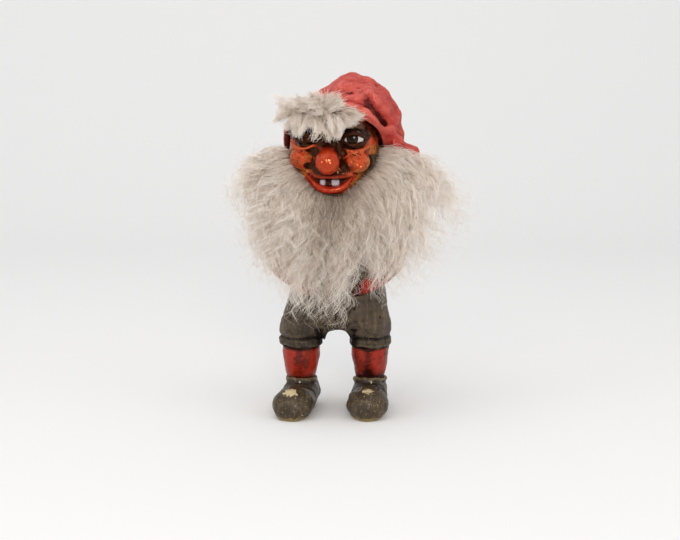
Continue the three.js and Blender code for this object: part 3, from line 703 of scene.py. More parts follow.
def carveHat():
    clay = newBlock(*hatBounds, hatLook["voxel"])
    stack(clay, hatRings)
    rod(clay, [[8, 3, 197, 9], [20, 4, 194.2, 11], [29, 6, 184, 10.2], [33.6, 8, 173, 8.0], [37.8, 9, 165, 6.0],
               [43.6, 7, 160.2, 5.6], [47.6, 6, 157.0, 4.9]], soft=5, pieces=16)
    rod(clay, [[6, -12, 198, 5.0], [20, -10, 193, 6.5], [30, -5, 184, 6.0], [35, 0, 173, 5.2], [37, 3, 164, 4.2]], soft=4,
        pieces=12)
    z, y = clay["z"], clay["y"]
    brim = np.interp(y.ravel(), brimLine[:, 0], brimLine[:, 1])[None, :, None] + 2.4 * step(16, 28, clay["x"])
    above = ((z - brim) * 0.72).astype(np.float32)
    clay["d"] -= 1.1 * np.exp(-((above - 2.2) / 1.9)**2)  # rolled brim
    clay["d"] += 0.9 * np.exp(-((above - 5.8) / 1.3)**2)
    fold = headward([[17, -17.5, 197.5], [22, -17.5, 189], [26.5, -14.5, 181.5], [30.0, -8.5, 174], [31.6, -1.5, 166]])
    groove(clay, fold, 3.3, hatLook["foldDepth"], 14)
    floor = np.concatenate([fold * (0.87, 0.87, 1.0) - (0, 0, 0.6), np.full((5, 1), 2.9)], 1)
    rod(clay, floor, soft=1.5, pieces=14)
    for path, width, depth in (
            ([[22, -14, 199], [29, -10, 190], [34, -5, 180], [35.5, -1, 170]], 1.1, 1.5),
            ([[30, -2, 196], [37, 0, 186], [40, 4, 176], [41, 6, 168]], 1.0, 1.1),
            ([[12, -17, 201], [20, -14.5, 196.5], [28, -10.5, 191]], 1.0, 1.0),
            ([[-2, -19, 198], [7, -19, 197], [15, -18, 195]], 1.2, 0.9),
            ([[14, 14, 203], [26, 17, 193], [33, 17, 180], [36, 15, 168]], 1.8, 2.0),
            ([[-4, 18, 198], [8, 25, 191], [22, 25, 182], [30, 20, 170]], 1.6, 1.3),
            ([[-16, 16, 193], [-6, 27, 182], [8, 31, 172], [22, 26, 161]], 1.5, 1.0),
            ([[-22, -6, 190], [-27, 4, 180], [-27, 16, 168]], 1.4, 0.9),
            ([[36, 2, 173], [40, 3, 167], [46, 3, 163]], 0.9, 1.2),
            ([[38, 12, 171], [42, 12, 165], [48, 10, 162]], 0.9, 1.0),
            ([[2, -8, 206], [9, -3, 207], [17, 0, 205]], 1.3, 0.7)):
        groove(clay, headward(path), width, depth, 12)
    for centre, radii in (((-12, -6, 206.4), (10, 12, 3.0)), ((26, -12, 204.5), (9, 10, 4.0)),
                          ((0, 12, 206.5), (9, 9, 4.5)), ((14, 20, 204), (12, 8, 5))):
        ball(clay, headward(centre), radii, "cut", 4.0)
    lumps(clay, hatLook["lumpSize"], hatLook["lumpHeight"], 21)
    lumps(clay, 5, 0.24, 22)
    meet(clay, (slice(None),) * 3, np.maximum(above + 0 * clay["d"], clay["x"] - 36), "cut", 1.2)  # trims it at the brim
    stack(clay, headRings, "cut", 0.3, 0.3)
    gap = newBlock(*hatBounds, hatLook["voxel"])
    stack(gap, headRings, grow=2.3)  # the brim stands a little off the face
    meet(clay, (slice(None),) * 3, np.maximum(np.maximum(gap["d"], above - 7.5), 5 - clay["x"]), "cut", 0.8)
    return clay


hatBlock = carveHat()
hat, hatPoints = cast("carvedHat", hatBlock, turned, "head", "hat")
hatCrease = hollows(hatBlock, hatPoints, 1.8)
hatBroad = hollows(hatBlock, hatPoints, 4.0)
radial = np.hypot(hatPoints[:, 0], hatPoints[:, 1])
brimAbove = hatPoints[:, 2] - np.interp(hatPoints[:, 1], brimLine[:, 0], brimLine[:, 1])
brimAbove = brimAbove - 2.4 * step(16, 28, hatPoints[:, 0])
inside = 1 - step(-0.2, 0.8, radial - smoothRows(headRings, hatPoints[:, 2])[:, 2] - 2.9)
inside = inside * (1 - step(8, 9, brimAbove))
foldLine = headward([[17, -19, 197.5], [22, -19.5, 189], [26.5, -16.5, 181.5], [30.5, -10, 174], [32.6, -2.5, 166]])
foldAway, _, _ = pathNear(hatPoints, foldLine)
# painted shade inside the brim, along the deep fold and in the broad hollows, with the dark wash in the creases
setMask(hat, "washAndShade", 0.5 * step(0.2, 0.9, hatCrease) + 0.6 * step(0.1, 0.9, hatBroad) + 0.9 * inside
        + 0.38 * (1 - step(0.4, 4.4, foldAway)))
setMask(hat, "edge", step(0.1, 0.7, -hatCrease))
# painted shade: the hat's right side gets a deeper red
setMask(hat, "side", step(20, 33, hatPoints[:, 0]))
# matt red distemper, rubbed with black that stays in the tool marks and in long fibrous scratches, with shade painted
# into its hollows and highlight painted on its rounds
hatPaint = oldPaint("matt hat paint", hatLook)
tree = hatPaint["tree"]
stretch = addNode(tree, "ShaderNodeMapping", {"vector_type": "POINT"}, {
    "Vector": hatPaint["place"], "Rotation": (0.2, 0.5, 0.6), "Scale": (1.0, 1.0, 4.5)})
scratch = addNode(tree, "ShaderNodeTexNoise", {"noise_type": "RIDGED_MULTIFRACTAL"},
                  {"Vector": stretch.outputs[0], "Scale": 120.0, "Detail": 3.0, "Distortion": 0.9})
# lighter on the rounds: rubbed paint and painted highlight
layer(hatPaint, hatPaint["edge"], hatLook["rubbed"], 0.75, 0.8, (0.05, 0.8))
layer(hatPaint, hatPaint["wide"], "#8c231d", 0.6, 0.5, (0.55, 0.75))
# the deeper red of the shaded right side
sideMask = addNode(tree, "ShaderNodeAttribute", {"attribute_name": "side"}).outputs["Fac"]
layer(hatPaint, sideMask, "#a3251b", 0.42, 0.7, (0.1, 1.0))
layer(hatPaint, scratch.outputs[0], hatLook["scratch"], 0.75, 0.5, (0.85, 1.35))
finishPaint(hatPaint, [hat], scratch.outputs[0], 0.05)
print("hat carved:", len(hat.data.polygons), "faces")


# breeches, shirt and sleeves

breechesLook = {"voxel": 0.45, "lumpSize": 13, "lumpHeight": 0.45, "base": ("#3a2f25", "#574838"), "washAndShade": "#0f0b08",
                "grain": "#71603f", "rubbed": "#7d6c50", "blotch": "#1c140e", "roughness": 0.5, "mottle": 16,
                "bump": 0.07}
bodyX = 1.0
legX = {"right": bodyX - 21.5, "left": bodyX + 21.5}
seatRings = [[50.6, bodyX, 0, 16, 9], [54, bodyX, 0, 28, 16.5], [60, bodyX + 0.6, 0, 31.4, 20],
             [68, bodyX + 1.2, 0, 30.4, 21.2], [76, bodyX + 1.2, 0, 29.8, 21.2], [84, bodyX + 0.6, 0, 28, 20],
             [92, bodyX, 0, 24.5, 17.6]]
sleevePath = [[21.5, 0.5, 119.5, 5.4], [26.5, 1.5, 114.5, 7.4], [32.5, 3.2, 106, 7.3], [36, 2.2, 97.5, 7.2],
              [32.5, -6.5, 91, 7.2], [25, -14.5, 86.5, 7.2], [17, -18.5, 82.5, 6.6], [10.5, -17.5, 78.5, 4.2]]


def sleeveStations(side, grow=0.0):
    return [[bodyX + side * x, y, z, r + grow] for x, y, z, r in sleevePath]


def carveBreeches():
    clay = newBlock((-37, -26, 39.8), (39, 25, 93.5), breechesLook["voxel"])
    stack(clay, seatRings)
    for side, name in ((-1, "right"), (1, "left")):
        x = legX[name]
        stack(clay, [[40.7, x, 0, 12.6, 14], [41.6, x, 0, 13.4, 15], [45, x, 0, 13.4, 15],
                     [46.4, x - side * 0.2, 0, 12.9, 14.4], [50.5, x - side * 0.8, 0, 13.7, 15.5],
                     [58, x - side * 3.4, 0, 15, 17], [68, x - side * 7.5, 0, 14.5, 17.5]], soft=3.0)
        loop = np.linspace(0, 2 * math.pi, 25)
        line = np.stack([x + 13.3 * np.cos(loop), 14.8 * np.sin(loop), 46.6 + 0.3 * np.sin(3 * loop + side)], 1)
        groove(clay, line, 0.9, 1.15, 30)  # the seam above the turn-up
        for path, width, depth in (
                ([[4, -16, 53.5], [11, -18.5, 57], [20, -17.5, 58.5]], 1.8, 1.0),
                ([[3, -18, 59], [9, -20.5, 65], [16, -20.5, 70]], 2.2, 0.9),
                ([[14, -16.5, 52], [20, -16.5, 49.6], [27, -13, 48.8]], 1.2, 0.7),
                ([[26, -14, 62], [29.5, -8, 56], [32, 0, 52]], 1.6, 0.7),
                ([[5, 16, 55], [13, 19, 58], [24, 15.5, 57]], 1.8, 1.2),
                ([[3, 19, 62], [12, 21, 66], [22, 17.5, 70]], 2.0, 0.8),
                ([[14, 16, 49.5], [20, 16.5, 51.5], [28, 12, 50]], 1.3, 0.8)):
            groove(clay, [[bodyX + side * a, b, c] for a, b, c in path], width, depth)
        ball(clay, (bodyX + side * 13, 12.5, 66), (13.5, 10.5, 11.5), soft=4)
        # the pocket stands open around the wrist
        rod(clay, [[bodyX + side * 26.5, -15.5, 90, 1.4], [bodyX + side * 19.0, -22.8, 88.2, 1.7],
                   [bodyX + side * 11.0, -23.4, 82.5, 1.8], [bodyX + side * 7.6, -21.2, 76.0, 1.4]], soft=1.6)
        rod(clay, sleeveStations(side, 0.5), "cut", 0.8, 16)
    # the crotch, and the arch between the legs
    rod(clay, [[bodyX + 1.1, -9, 51.6, 10], [bodyX + 1.1, 9, 51.6, 10]], soft=2)
    rod(clay, [[bodyX + 1.1, -32, 45.0, 8.3], [bodyX + 1.1, 32, 45.0, 8.3]], "cut", 1.2)
    rod(clay, [[bodyX + 0.9, -32, 38, 8.3], [bodyX + 0.9, 32, 38, 8.3]], "cut", 1.2)
    groove(clay, [[bodyX, 21.5, 84], [bodyX, 22, 72], [bodyX, 20, 60], [bodyX, 10, 50]], 1.1, 1.3)
    groove(clay, [[bodyX, -22, 80], [bodyX, -22, 70], [bodyX, -18.5, 56]], 1.1, 0.8)
    lumps(clay, breechesLook["lumpSize"], breechesLook["lumpHeight"], 31)
    lumps(clay, 4, 0.12, 32)
    return clay


def castPainted(name, clay, place, body, node, washAndShadeLevel=1.0, reach=1.8):
    piece, points = cast(name, clay, place, body, node)
    crease, broad = hollows(clay, points, reach), hollows(clay, points, reach * 2.2)
    # dark wash and painted shade in the creases and the broad hollows
    setMask(piece, "washAndShade", washAndShadeLevel * (0.8 * step(0.15, 0.8, crease) + 0.6 * step(0.15, 0.8, broad)))
    setMask(piece, "edge", step(0.15, 0.8, -crease))
    return piece, points


def moreMask(piece, name, extra):  # adds to a mask that is already there
    mask = piece.data.attributes[name]
    values = np.empty(len(piece.data.vertices), np.float32)
    mask.data.foreach_get("value", values)
    mask.data.foreach_set("value", np.clip(values + extra, 0, 1).astype(np.float32))


breeches, at = castPainted("carvedBreeches", carveBreeches(), standing, "body", "breeches")
# painted shade under the arch between the legs and at the top under the shirt; darker on the turn-ups
arch = np.hypot(at[:, 0] - bodyX - 0.9, at[:, 2] - 43.9)
moreMask(breeches, "washAndShade", 0.85 * (1 - step(8.5, 14.0, arch)) * (at[:, 2] < 56) + 0.5 * step(88, 92, at[:, 2])
         + 0.45 * step(48.5, 45.6, at[:, 2]))
# thin olive-brown oil paint: black with wash and painted shade in the creases, rubbed to a dull tan on the rounds
clothPaint = oldPaint("worn breeches paint", breechesLook)
streak = addNode(clothPaint["tree"], "ShaderNodeMapping", None, {"Vector": clothPaint["place"],
                                                                 "Scale": (1.0, 1.0, 0.22)})
grain = addNode(clothPaint["tree"], "ShaderNodeTexNoise", None, {"Vector": streak.outputs[0], "Scale": 330.0,
                                                                 "Detail": 4.0})  # upright streaks about 3 mm wide
layer(clothPaint, grain.outputs[0], breechesLook["grain"], 0.5, 0.3, (0.5, 0.74))
layer(clothPaint, clothPaint["edge"], breechesLook["rubbed"], 0.5, 0.7, (0.1, 0.9))
layer(clothPaint, clothPaint["wide"], breechesLook["blotch"], 0.85, 0.4, (0.5, 0.7))
finishPaint(clothPaint, [breeches], grain.outputs[0], 0.04)
print("breeches carved")


sleeveLook = {"voxel": 0.4, "lumpSize": 11, "lumpHeight": 0.3}
shirtLook = {"voxel": 0.45, "lumpSize": 11, "lumpHeight": 0.3}


def carveSleeve(side):
    low = np.array([min(bodyX + side * 4, bodyX + side * 46), -28, 72])
    high = np.array([max(bodyX + side * 4, bodyX + side * 46), 12, 127])
    clay = newBlock(low, high, sleeveLook["voxel"])
    rod(clay, sleeveStations(side), pieces=18)
    for path, width, depth in (
            ([[30, -4, 104], [31, -5, 98], [35, -4, 93]], 1.6, 1.7),
            ([[31, 8, 112], [37, 8, 106], [41.5, 5, 101]], 1.4, 0.9),
            ([[27, -6.5, 112], [33, -4.5, 106], [40, -2, 104]], 1.3, 1.0),
            ([[43, 3, 100], [41, -2, 94], [38, -9, 89]], 1.2, 0.9),
            ([[25, -21.5, 91], [22.5, -22, 86], [22.5, -21, 81]], 1.1, 0.9),
            ([[34, -13, 95], [32, -14.5, 90], [31, -12, 84]], 1.3, 0.9),
            ([[20, -25, 88], [18.5, -25.5, 83], [19.5, -24, 78]], 0.8, 0.8),
            ([[33, 9.5, 104], [35, 8, 96], [34, 1, 89]], 1.4, 1.0)):
        groove(clay, [[bodyX + side * a, b, c] for a, b, c in path], width, depth)
    lumps(clay, sleeveLook["lumpSize"], sleeveLook["lumpHeight"], 41 + side)
    return clay


shirtRings = [[92.3, bodyX, 0, 24.5, 17.6], [101, bodyX, 0, 25, 18.2], [111, bodyX, 0, 25, 17.6],
              [118, bodyX * 0.8, 0, 22.5, 15.4], [123, bodyX * 0.5, 0, 16.5, 12.2], [126.5, 0, 0, 11, 10],
              [129.7, 0, 0, 9.6, 9.4]]


def carveShirt():
    clay = newBlock((-27, -21, 91.4), (29, 21, 130.4), shirtLook["voxel"])
    stack(clay, shirtRings)
    loop = np.linspace(0, 2 * math.pi, 21)
    collar = np.stack([0.2 + 10.6 * np.cos(loop), 9.8 * np.sin(loop), np.full(21, 126.4), np.full(21, 1.7)], 1)
    rod(clay, collar, soft=1.2, pieces=24)
    for path, width, depth in (
            ([[-16, 14, 118], [-6, 18, 108], [8, 18, 100]], 1.6, 1.0),
            ([[17, 13, 118], [12, 17, 107], [0, 18.5, 97]], 1.6, 0.9),
            ([[-22, 9, 112], [-17, 14, 103], [-14, 16, 94]], 1.4, 0.9),
            ([[23, 8, 112], [20, 12.5, 103], [17, 15, 94]], 1.4, 0.9),
            ([[0, 18, 122], [1, 18.5, 112], [1, 18.5, 94]], 0.9, 0.6)):
        groove(clay, path, width, depth)
    lumps(clay, shirtLook["lumpSize"], shirtLook["lumpHeight"], 51)
    return clay


redPieces = []
for side, name in ((-1, "right"), (1, "left")):
    sleeve, at = castPainted("carvedSleeve_" + name, carveSleeve(side), standing, "body", "sleeve_" + name)
    # painted shade on the inner side of each sleeve, next to the body under the wool
    moreMask(sleeve, "washAndShade", 0.7 * step(20, 13, side * (at[:, 0] - bodyX)))
    redPieces.append(sleeve)
shirt, _ = castPainted("carvedShirt", carveShirt(), standing, "body", "shirt")
redPieces.append(shirt)
print("shirt and sleeves carved")

# stockings

stockingLook = {"voxel": 0.35, "lumpSize": 10, "lumpHeight": 0.28}
redLook = {"base": ("#92200f", "#ab2e18"), "washAndShade": "#1a0a07", "rubbed": "#bb4527", "blotch": "#450e07",
           "roughness": 0.38, "coat": 0.1, "mottle": 13, "shine": 0.25}
for side, name in ((-1, "right"), (1, "left")):
    x = legX[name]
    clay = newBlock((x - 14, -15, 5.8), (x + 14, 15, 41), stockingLook["voxel"])
    stack(clay, [[6.3, x, 1, 7.2, 7.6], [14, x, 1, 7.7, 8.2], [18.5, x, 0.8, 8.2, 8.8],
                 [26, x + side * 0.2, 0.4, 10.2, 11], [34, x, 0, 11.4, 12.4], [40.4, x, 0, 11.7, 12.8]])
    groove(clay, [[x - 3.5, -8.5, 22], [x - 1, -11.2, 28], [x - 1.5, -12.6, 38]], 2.6, 0.5)
    groove(clay, [[x - 8, -6.5, 22.6], [x, -9.4, 21.2], [x + 8, -6.5, 22.6]], 0.9, 0.4)
    groove(clay, [[x + 6, 7.5, 24.6], [x, 9.6, 23.4], [x - 7, 7.0, 24.6]], 0.9, 0.4)
    lumps(clay, stockingLook["lumpSize"], stockingLook["lumpHeight"], 61 + side)
    lumps(clay, 3.5, 0.06, 63 + side)
    stocking, at = castPainted("carvedStocking_" + name, clay, standing, "body", "stocking_" + name, 0.7)
    # painted shade under the knee band, above the clog, down the shin and on the lower leg, more on the left leg
    shin = (1 - step(-0.2, 6, np.abs(at[:, 0] - x + 1.5))) * step(-6, -9, at[:, 1])
    moreMask(stocking, "washAndShade", 0.8 * step(37.5, 40.2, at[:, 2]) + 0.85 * step(23.5, 19, at[:, 2])
             + (0.6 if side > 0 else 0.15) * shin + (0.5 if side > 0 else 0.2) * step(30, 22, at[:, 2]))
    redPieces.append(stocking)
# red oil paint over a brown ground, with painted shade at the knee and the ankle
redPaint = oldPaint("satin red paint", redLook)
layer(redPaint, redPaint["edge"], redLook["rubbed"], 0.4, 0.5, (0.1, 0.9))
layer(redPaint, redPaint["wide"], redLook["blotch"], 0.85, 0.35, (0.47, 0.66))
finishPaint(redPaint, redPieces)
print("stockings carved")

# clogs: heel to toe along the block's own third axis

clogLook = {"voxel": 0.33, "lumpSize": 8, "lumpHeight": 0.3, "turn": {"right": -10.0, "left": -4.5}, "toeFrom": 15.0,
            "base": ("#241a14", "#3a2b21"), "washAndShade": "#0b0706", "toe": "#43361f", "rubbed": "#85714c",
            "sole": "#97804a", "chip": "#cbb78f", "roughness": 0.48, "coat": 0.1, "mottle": 8, "bump": 0.08}
clogRings = [[-15.4, 0, 8.6, 4.5, 6], [-14, 0, 9, 8, 8.6], [-9, 0, 9.4, 10.2, 11.2], [-1, 0, 9.6, 10.8, 11.4],
             [7, 0, 9.0, 11.2, 10.6], [13, 0, 8.1, 11.6, 9.4], [21, 0, 8.2, 12.6, 9.7],
             [28, 0, 7.8, 12.4, 9.2], [33, 0, 7.0, 10.4, 8.0],
             [36, 0, 6.2, 7.2, 6.4], [37.6, 0, 5.6, 3.4, 3.2]]


def clogPlace(name):
    angle = math.radians(clogLook["turn"][name])
    c, s = math.cos(angle), math.sin(angle)

    def place(points):  # block axes are width, height, heel-to-toe
        x, y, z = points[:, 0], -points[:, 2], points[:, 1]
        return standing(np.stack([c * x - s * y + legX[name], s * x + c * y + 1, z], 1))
    return place


clogs = []
for name, seed in (("right", 71), ("left", 75)):
    clay = newBlock((-15, -1.4, -17.5), (15, 24, 40), clogLook["voxel"])
    stack(clay, clogRings)
    loop = np.linspace(0, 2 * math.pi, 25)
    rim = np.stack([9.0 * np.cos(loop), 18.4 + 0.9 * np.sin(loop), 9.6 * np.sin(loop) - 0.4, np.full(25, 1.5)], 1)
    rod(clay, rim, soft=2.2, pieces=28)
    rod(clay, [[0, 13.5, 0, 7.9], [0, 26, -0.4, 8.6]], "cut", 0.8)
    ball(clay, (0, 9.6, 24.5), (10.6, 8.0, 9.0), soft=3.5)
    groove(clay, [[-12, 5, 9], [-9.5, 14, 12], [0, 17.4, 16.6], [9.5, 14, 12], [12, 5, 9]], 0.85, 0.75, 16)
    groove(clay, [[-12.5, 3.2, -9], [-13.4, 3.2, 6], [-14, 3.2, 20], [-9.5, 3.2, 31.5], [0, 3.0, 36], [9.5, 3.2, 31.5],
                  [14, 3.2, 20], [13.4, 3.2, 6], [12.5, 3.2, -9]], 0.8, 0.5, 26)
    groove(clay, [[-6, 16.5, 15], [-4, 17.6, 21], [-5, 16.2, 28]], 1.0, 0.35)
    groove(clay, [[5, 17, 16], [6, 16.8, 21], [4.5, 16.2, 28]], 1.0, 0.35)
    lumps(clay, clogLook["lumpSize"], clogLook["lumpHeight"], seed)
    lumps(clay, 3, 0.09, seed + 1)
    meet(clay, (slice(None),) * 3, clay["y"] - 0.02 + 0 * clay["d"], "cut", 1.0)  # the sole is planed flat
    clog, points = castPainted("carvedClog_" + name, clay, clogPlace(name), "body", "clog_" + name,
                               0.8, 1.4)
    forward = points[:, 2] + 0.25 * (points[:, 1] - 10)
    setMask(clog, "toe", step(clogLook["toeFrom"] - 2.5, clogLook["toeFrom"] + 4, forward))
    setMask(clog, "sole", 1 - step(0.6, 4.2, points[:, 1]))
    tip = (-0.6, 15.6, 29.6) if name == "right" else (0.4, 16.0, 28.6)
    offset = (points - tip) / ((5.6, 3.6, 4.4) if name == "right" else (4.2, 3.0, 3.6))
    chip = 1 - step(0.35, 1.25, np.sqrt((offset**2).sum(1)))
    for spot, size in (((1.5, 18.6, 11.0), 1.1), ((-7.5, 10.0, 33.5), 1.2), ((8.0, 13.5, 28), 0.9), ((-9, 13, 21), 0.9)):
        chip = np.maximum(chip, 0.8 * (1 - step(0.3, 1.2, np.sqrt((((points - spot) / size)**2).sum(1)))))
    setMask(clog, "chip", chip)
    clogs.append(clog)
# brown-grey oil paint scuffed to ochre on the toes, with chips down to the pale lime wood
clogPaint = oldPaint("scuffed clog paint", clogLook)
toeMask, soleMask, chipMask = [addNode(clogPaint["tree"], "ShaderNodeAttribute", {"attribute_name": mask}).outputs["Fac"]
                               for mask in ("toe", "sole", "chip")]
layer(clogPaint, toeMask, clogLook["toe"], 0.55, 0.9, (0.1, 1.0))
layer(clogPaint, clogPaint["wide"], "#241b15", 0.7, 0.5, (0.52, 0.7))
layer(clogPaint, clogPaint["edge"], clogLook["rubbed"], 0.6, 0.8, (0.15, 0.9))
layer(clogPaint, soleMask, clogLook["sole"], 0.8, 1.2, (0.3, 1.1))
clogShader = finishPaint(clogPaint, clogs)
layer(clogPaint, chipMask, clogLook["chip"], 0.95, 3.2, (0.45, 0.62))  # the chips go through the dark wash and painted shade too
clogPaint["tree"].links.new(clogPaint["colour"], clogShader.inputs["Base Color"])
print("clogs carved")


# wool: loose curly locks of uncut fleece, glued to a strip of hide along the jaw

woolLook = {"root": "#988473", "middle": "#e8dacb", "tip": "#fff8f0", "strandWidth": 0.2, "locks": 430, "perLock": 15,
            "loose": 1700, "wisps": 520, "curls": 210, "perCurl": 6, "fringe": 1500, "tufts": 110, "perTuft": 44,
            "crimp": 7.0, "crimpHeight": 0.45, "lockWave": 13.0, "lockBend": 3.2, "seed": 764}
# a piece of more than 200,000 faces would be thinned by the export
facesPerPiece = 190000  # the most faces one piece of wool may hold
looseReach = 0.86  # the loose strands end before the locks do
cuffAt = 0.235  # the shirt cuff shows between the locks here
# along the jaw from the tomte's right temple (-1) to its left (1): where the wool leaves the face, where it ends
jawLine = [[-1.0, -28.5, -3, 163], [-0.8, -25.5, -13, 154], [-0.55, -18.5, -20, 143.5], [-0.25, -8.5, -23.5, 136],
           [0.0, 0.5, -25, 134], [0.25, 9.5, -23.5, 137], [0.5, 17.5, -18.5, 144.5], [0.75, 25.5, -12.0, 153],
           [1.0, 30.5, -2, 163]]
woolEnd = [[-1.0, -56, -4, 143], [-0.85, -63, -8, 131], [-0.7, -57, -13, 112], [-0.55, -49, -19, 93],
           [-0.4, -40, -26, 81], [-0.25, -26, -31, 70], [-0.1, -15, -33, 65], [0.05, -3, -34, 64], [0.13, 5, -34, 65],
           [0.2, 11, -34, 83], [0.27, 19, -33, 87], [0.34, 28, -31, 74], [0.42, 35, -29, 76], [0.5, 43, -26, 79],
           [0.65, 57, -16, 89], [0.8, 75, -7, 104], [0.92, 86, -3, 118], [1.0, 68, 1, 141]]


def unit(vectors):
    return vectors / (np.linalg.norm(vectors, axis=-1, keepdims=True) + 1e-9)


def lengths(path):
    return np.linalg.norm(np.diff(path, axis=1), axis=2).sum(1)


def outwardFrom(root, heightShare):  # away from the middle of the face
    return unit((root - (0, 2, 152)) * (1, 1, heightShare))


def bent(p0, p1, p2, p3, s):  # cubic curves, one for each row of ends
    s = s[None, :, None]
    shares = ((1 - s)**3, 3 * s * (1 - s)**2, 3 * s * s * (1 - s), s**3)
    return sum(c * p[:, None, :] for c, p in zip(shares, (p0, p1, p2, p3)))


def offBody(points, gap):  # wool lies on the shirt, the arms and the breeches, never inside them
    x, y, z = points[..., 0], points[..., 1], points[..., 2]
    torso = sorted(seatRings[1:-1] + shirtRings)
    for rings, low, high in ((torso, 54, 129.6), (headRings, 130, 178)):
        ring = smoothRows(rings, np.clip(z, low, high).ravel()).reshape(*z.shape, 4)
        a, b = ring[..., 2] + gap, ring[..., 3] + gap
        cx, cy = ring[..., 0], ring[..., 1]
        k = np.sqrt(((x - cx) / a)**2 + ((y - cy) / b)**2) + 1e-6
        push = np.where((k < 1) & (z >= low - 4) & (z <= high), 1 / k, 1.0)
        x, y = cx + (x - cx) * push, cy + (y - cy) * push
    for side in (-1, 1):
        line = throughPoints(sleeveStations(side), 12)
        d, t = alongPath(x, y, z, line[:, :3])
        room = np.interp(t, np.linspace(0, 1, len(line)), line[:, 3]) + gap
        y = y - 0.9 * np.maximum(room - d, 0)
        x = x + side * 0.45 * np.maximum(room - d, 0)
    return np.stack([x, y, z], -1)


def crossAxes(path):  # two directions across each strand
    along = unit(np.gradient(path, axis=1))
    across = unit(np.cross(along, np.array([0.15, -1.0, 0.1])))
    return across, np.cross(along, across)


def crimped(path, s, length, amount, wave, phase):  # a springy wave that opens towards the tip
    across, up = crossAxes(path)
    turn = 2 * math.pi * length[:, None] / wave[:, None] * s[None, :] + phase[:, None]
    size = amount[:, None] * (0.18 + 0.82 * np.clip(s[None, :] * 1.6, 0, 1)**1.3)
    return path + across * (size * np.sin(turn))[..., None] + up * (0.8 * size * np.cos(turn * 0.93 + 1.0))[..., None]


def coiled(path, turn, size, squash=1.0):  # winds each strand around its own line
    across, up = crossAxes(path)
    return path + across * (size * np.cos(turn))[..., None] + up * (squash * size * np.sin(turn))[..., None]


def lockStrands(rng):  # strands that keep together in locks; also each lock's line, length, place and layer
    count, rings = woolLook["locks"], 40
    s = np.linspace(0, 1, rings)
    even = int(0.45 * count)  # the others crowd to the two sides of the chin
    crowd = rng.choice([-0.42, 0.45], count - even) + rng.normal(0, 0.2, count - even)
    u = np.concatenate([np.linspace(-1, 1, even), crowd])
    u = np.sort(np.clip(u + rng.normal(0, 0.02, count), -1, 1))
    layerAt = rng.uniform(0, 1, count)
    root, end = smoothRows(jawLine, u), smoothRows(woolEnd, u)
    reach = np.clip(rng.uniform(0.7, 1.06, count) - 0.1 * layerAt, 0.55, 1.0)
    reach = np.where(np.abs(u - cuffAt) < 0.045, reach * rng.choice([0.86, 1.0], count), reach)
    outward = outwardFrom(root, 0.35)
    root = root + outward * (-2.4) + rng.normal(0, 1.5, (count, 3)) - np.outer(1 - layerAt, (0, 0, 3.5))
    back = rng.uniform(-2, 12, count) * (np.abs(u) - 0.55) / 0.45
    root[:, 1] += np.where(np.abs(u) > 0.75, back, 0)
    tip = root + (end - root) * reach[:, None]
    tip[:, 1] += rng.normal(0, 3.0, count) - 5.0 * layerAt + 3.0
    tip += rng.normal(0, 2.4, (count, 3)) * (1, 0.3, 1)
    first = root + outward * (5 + 9 * layerAt)[:, None] - (0, 0, 1) * (2.5 * np.abs(u))[:, None]
    lift = np.stack([8 * np.sign(u) * np.abs(u)**1.2, -5 - 8 * layerAt, 9 + 1.5 * np.abs(u)], 1)
    third = root + (tip - root) * 0.62 + lift * rng.uniform(0.5, 1.2, (count, 1))
    guide = bent(root, first, third, tip, s)
    length = lengths(guide)
    lockWave = woolLook["crimp"] * rng.uniform(0.75, 1.5, count)
    lockPhase = rng.uniform(0, anyTurn, count)
    # outer layers toned lighter, inner ones darker: painted shade within the mass, over each lock's own tone
    lockToneAndShade = rng.normal(-0.02, 0.32, count) + 0.12 * layerAt
    across, up = crossAxes(guide)
    turn = (2 * math.pi * length / (woolLook["lockWave"] * rng.uniform(0.65, 1.4, count)))[:, None] * s
    turn = turn + rng.uniform(0, anyTurn, (count, 1))
    bend = woolLook["lockBend"] * rng.uniform(0.3, 1.3, (count, 1)) * np.clip(s * 1.5 - 0.1, 0, 1)**1.2
    guide = guide + across * (bend * np.sin(turn))[..., None] + up * (0.7 * bend * np.cos(turn))[..., None]
    who = np.repeat(np.arange(count), woolLook["perLock"])
    n = len(who)
    angle, off = rng.uniform(0, anyTurn, (n, 1)), np.sqrt(rng.uniform(0, 1, n))
    spread = (1.0 + 1.7 * np.clip(s * 2.2, 0, 1) - 1.6 * np.clip((s - 0.6) / 0.4, 0, 1)**1.2)[None, :] * off[:, None]
    path = coiled(guide[who], angle, spread * rng.uniform(0.7, 1.3, (n, 1)))
    stray = rng.normal(0, 1.0, (n, 1, 3)) * (s[None, :, None]**2)
    path = path + stray * rng.choice([0.5, 1.5, 4.5], n, p=[0.7, 0.2, 0.1])[:, None, None]
    cut = rng.uniform(0.7, 1.0, n)  # strands end at different lengths
    at = s[None, :] * cut[:, None]
    low = np.clip((at * (rings - 1)).astype(int), 0, rings - 2)
    part = (at * (rings - 1) - low)[..., None]
    rows = np.arange(n)[:, None]
    path = path[rows, low] * (1 - part) + path[rows, low + 1] * part
    path = crimped(path, s, length[who] * cut, woolLook["crimpHeight"] * rng.uniform(0.7, 1.35, n),
                   lockWave[who] * rng.normal(1, 0.03, n), lockPhase[who] + rng.normal(0, 0.45, n))
    return (path, lockToneAndShade[who] + rng.normal(0, 0.07, n), u[who], 1.0), guide, length, u, layerAt


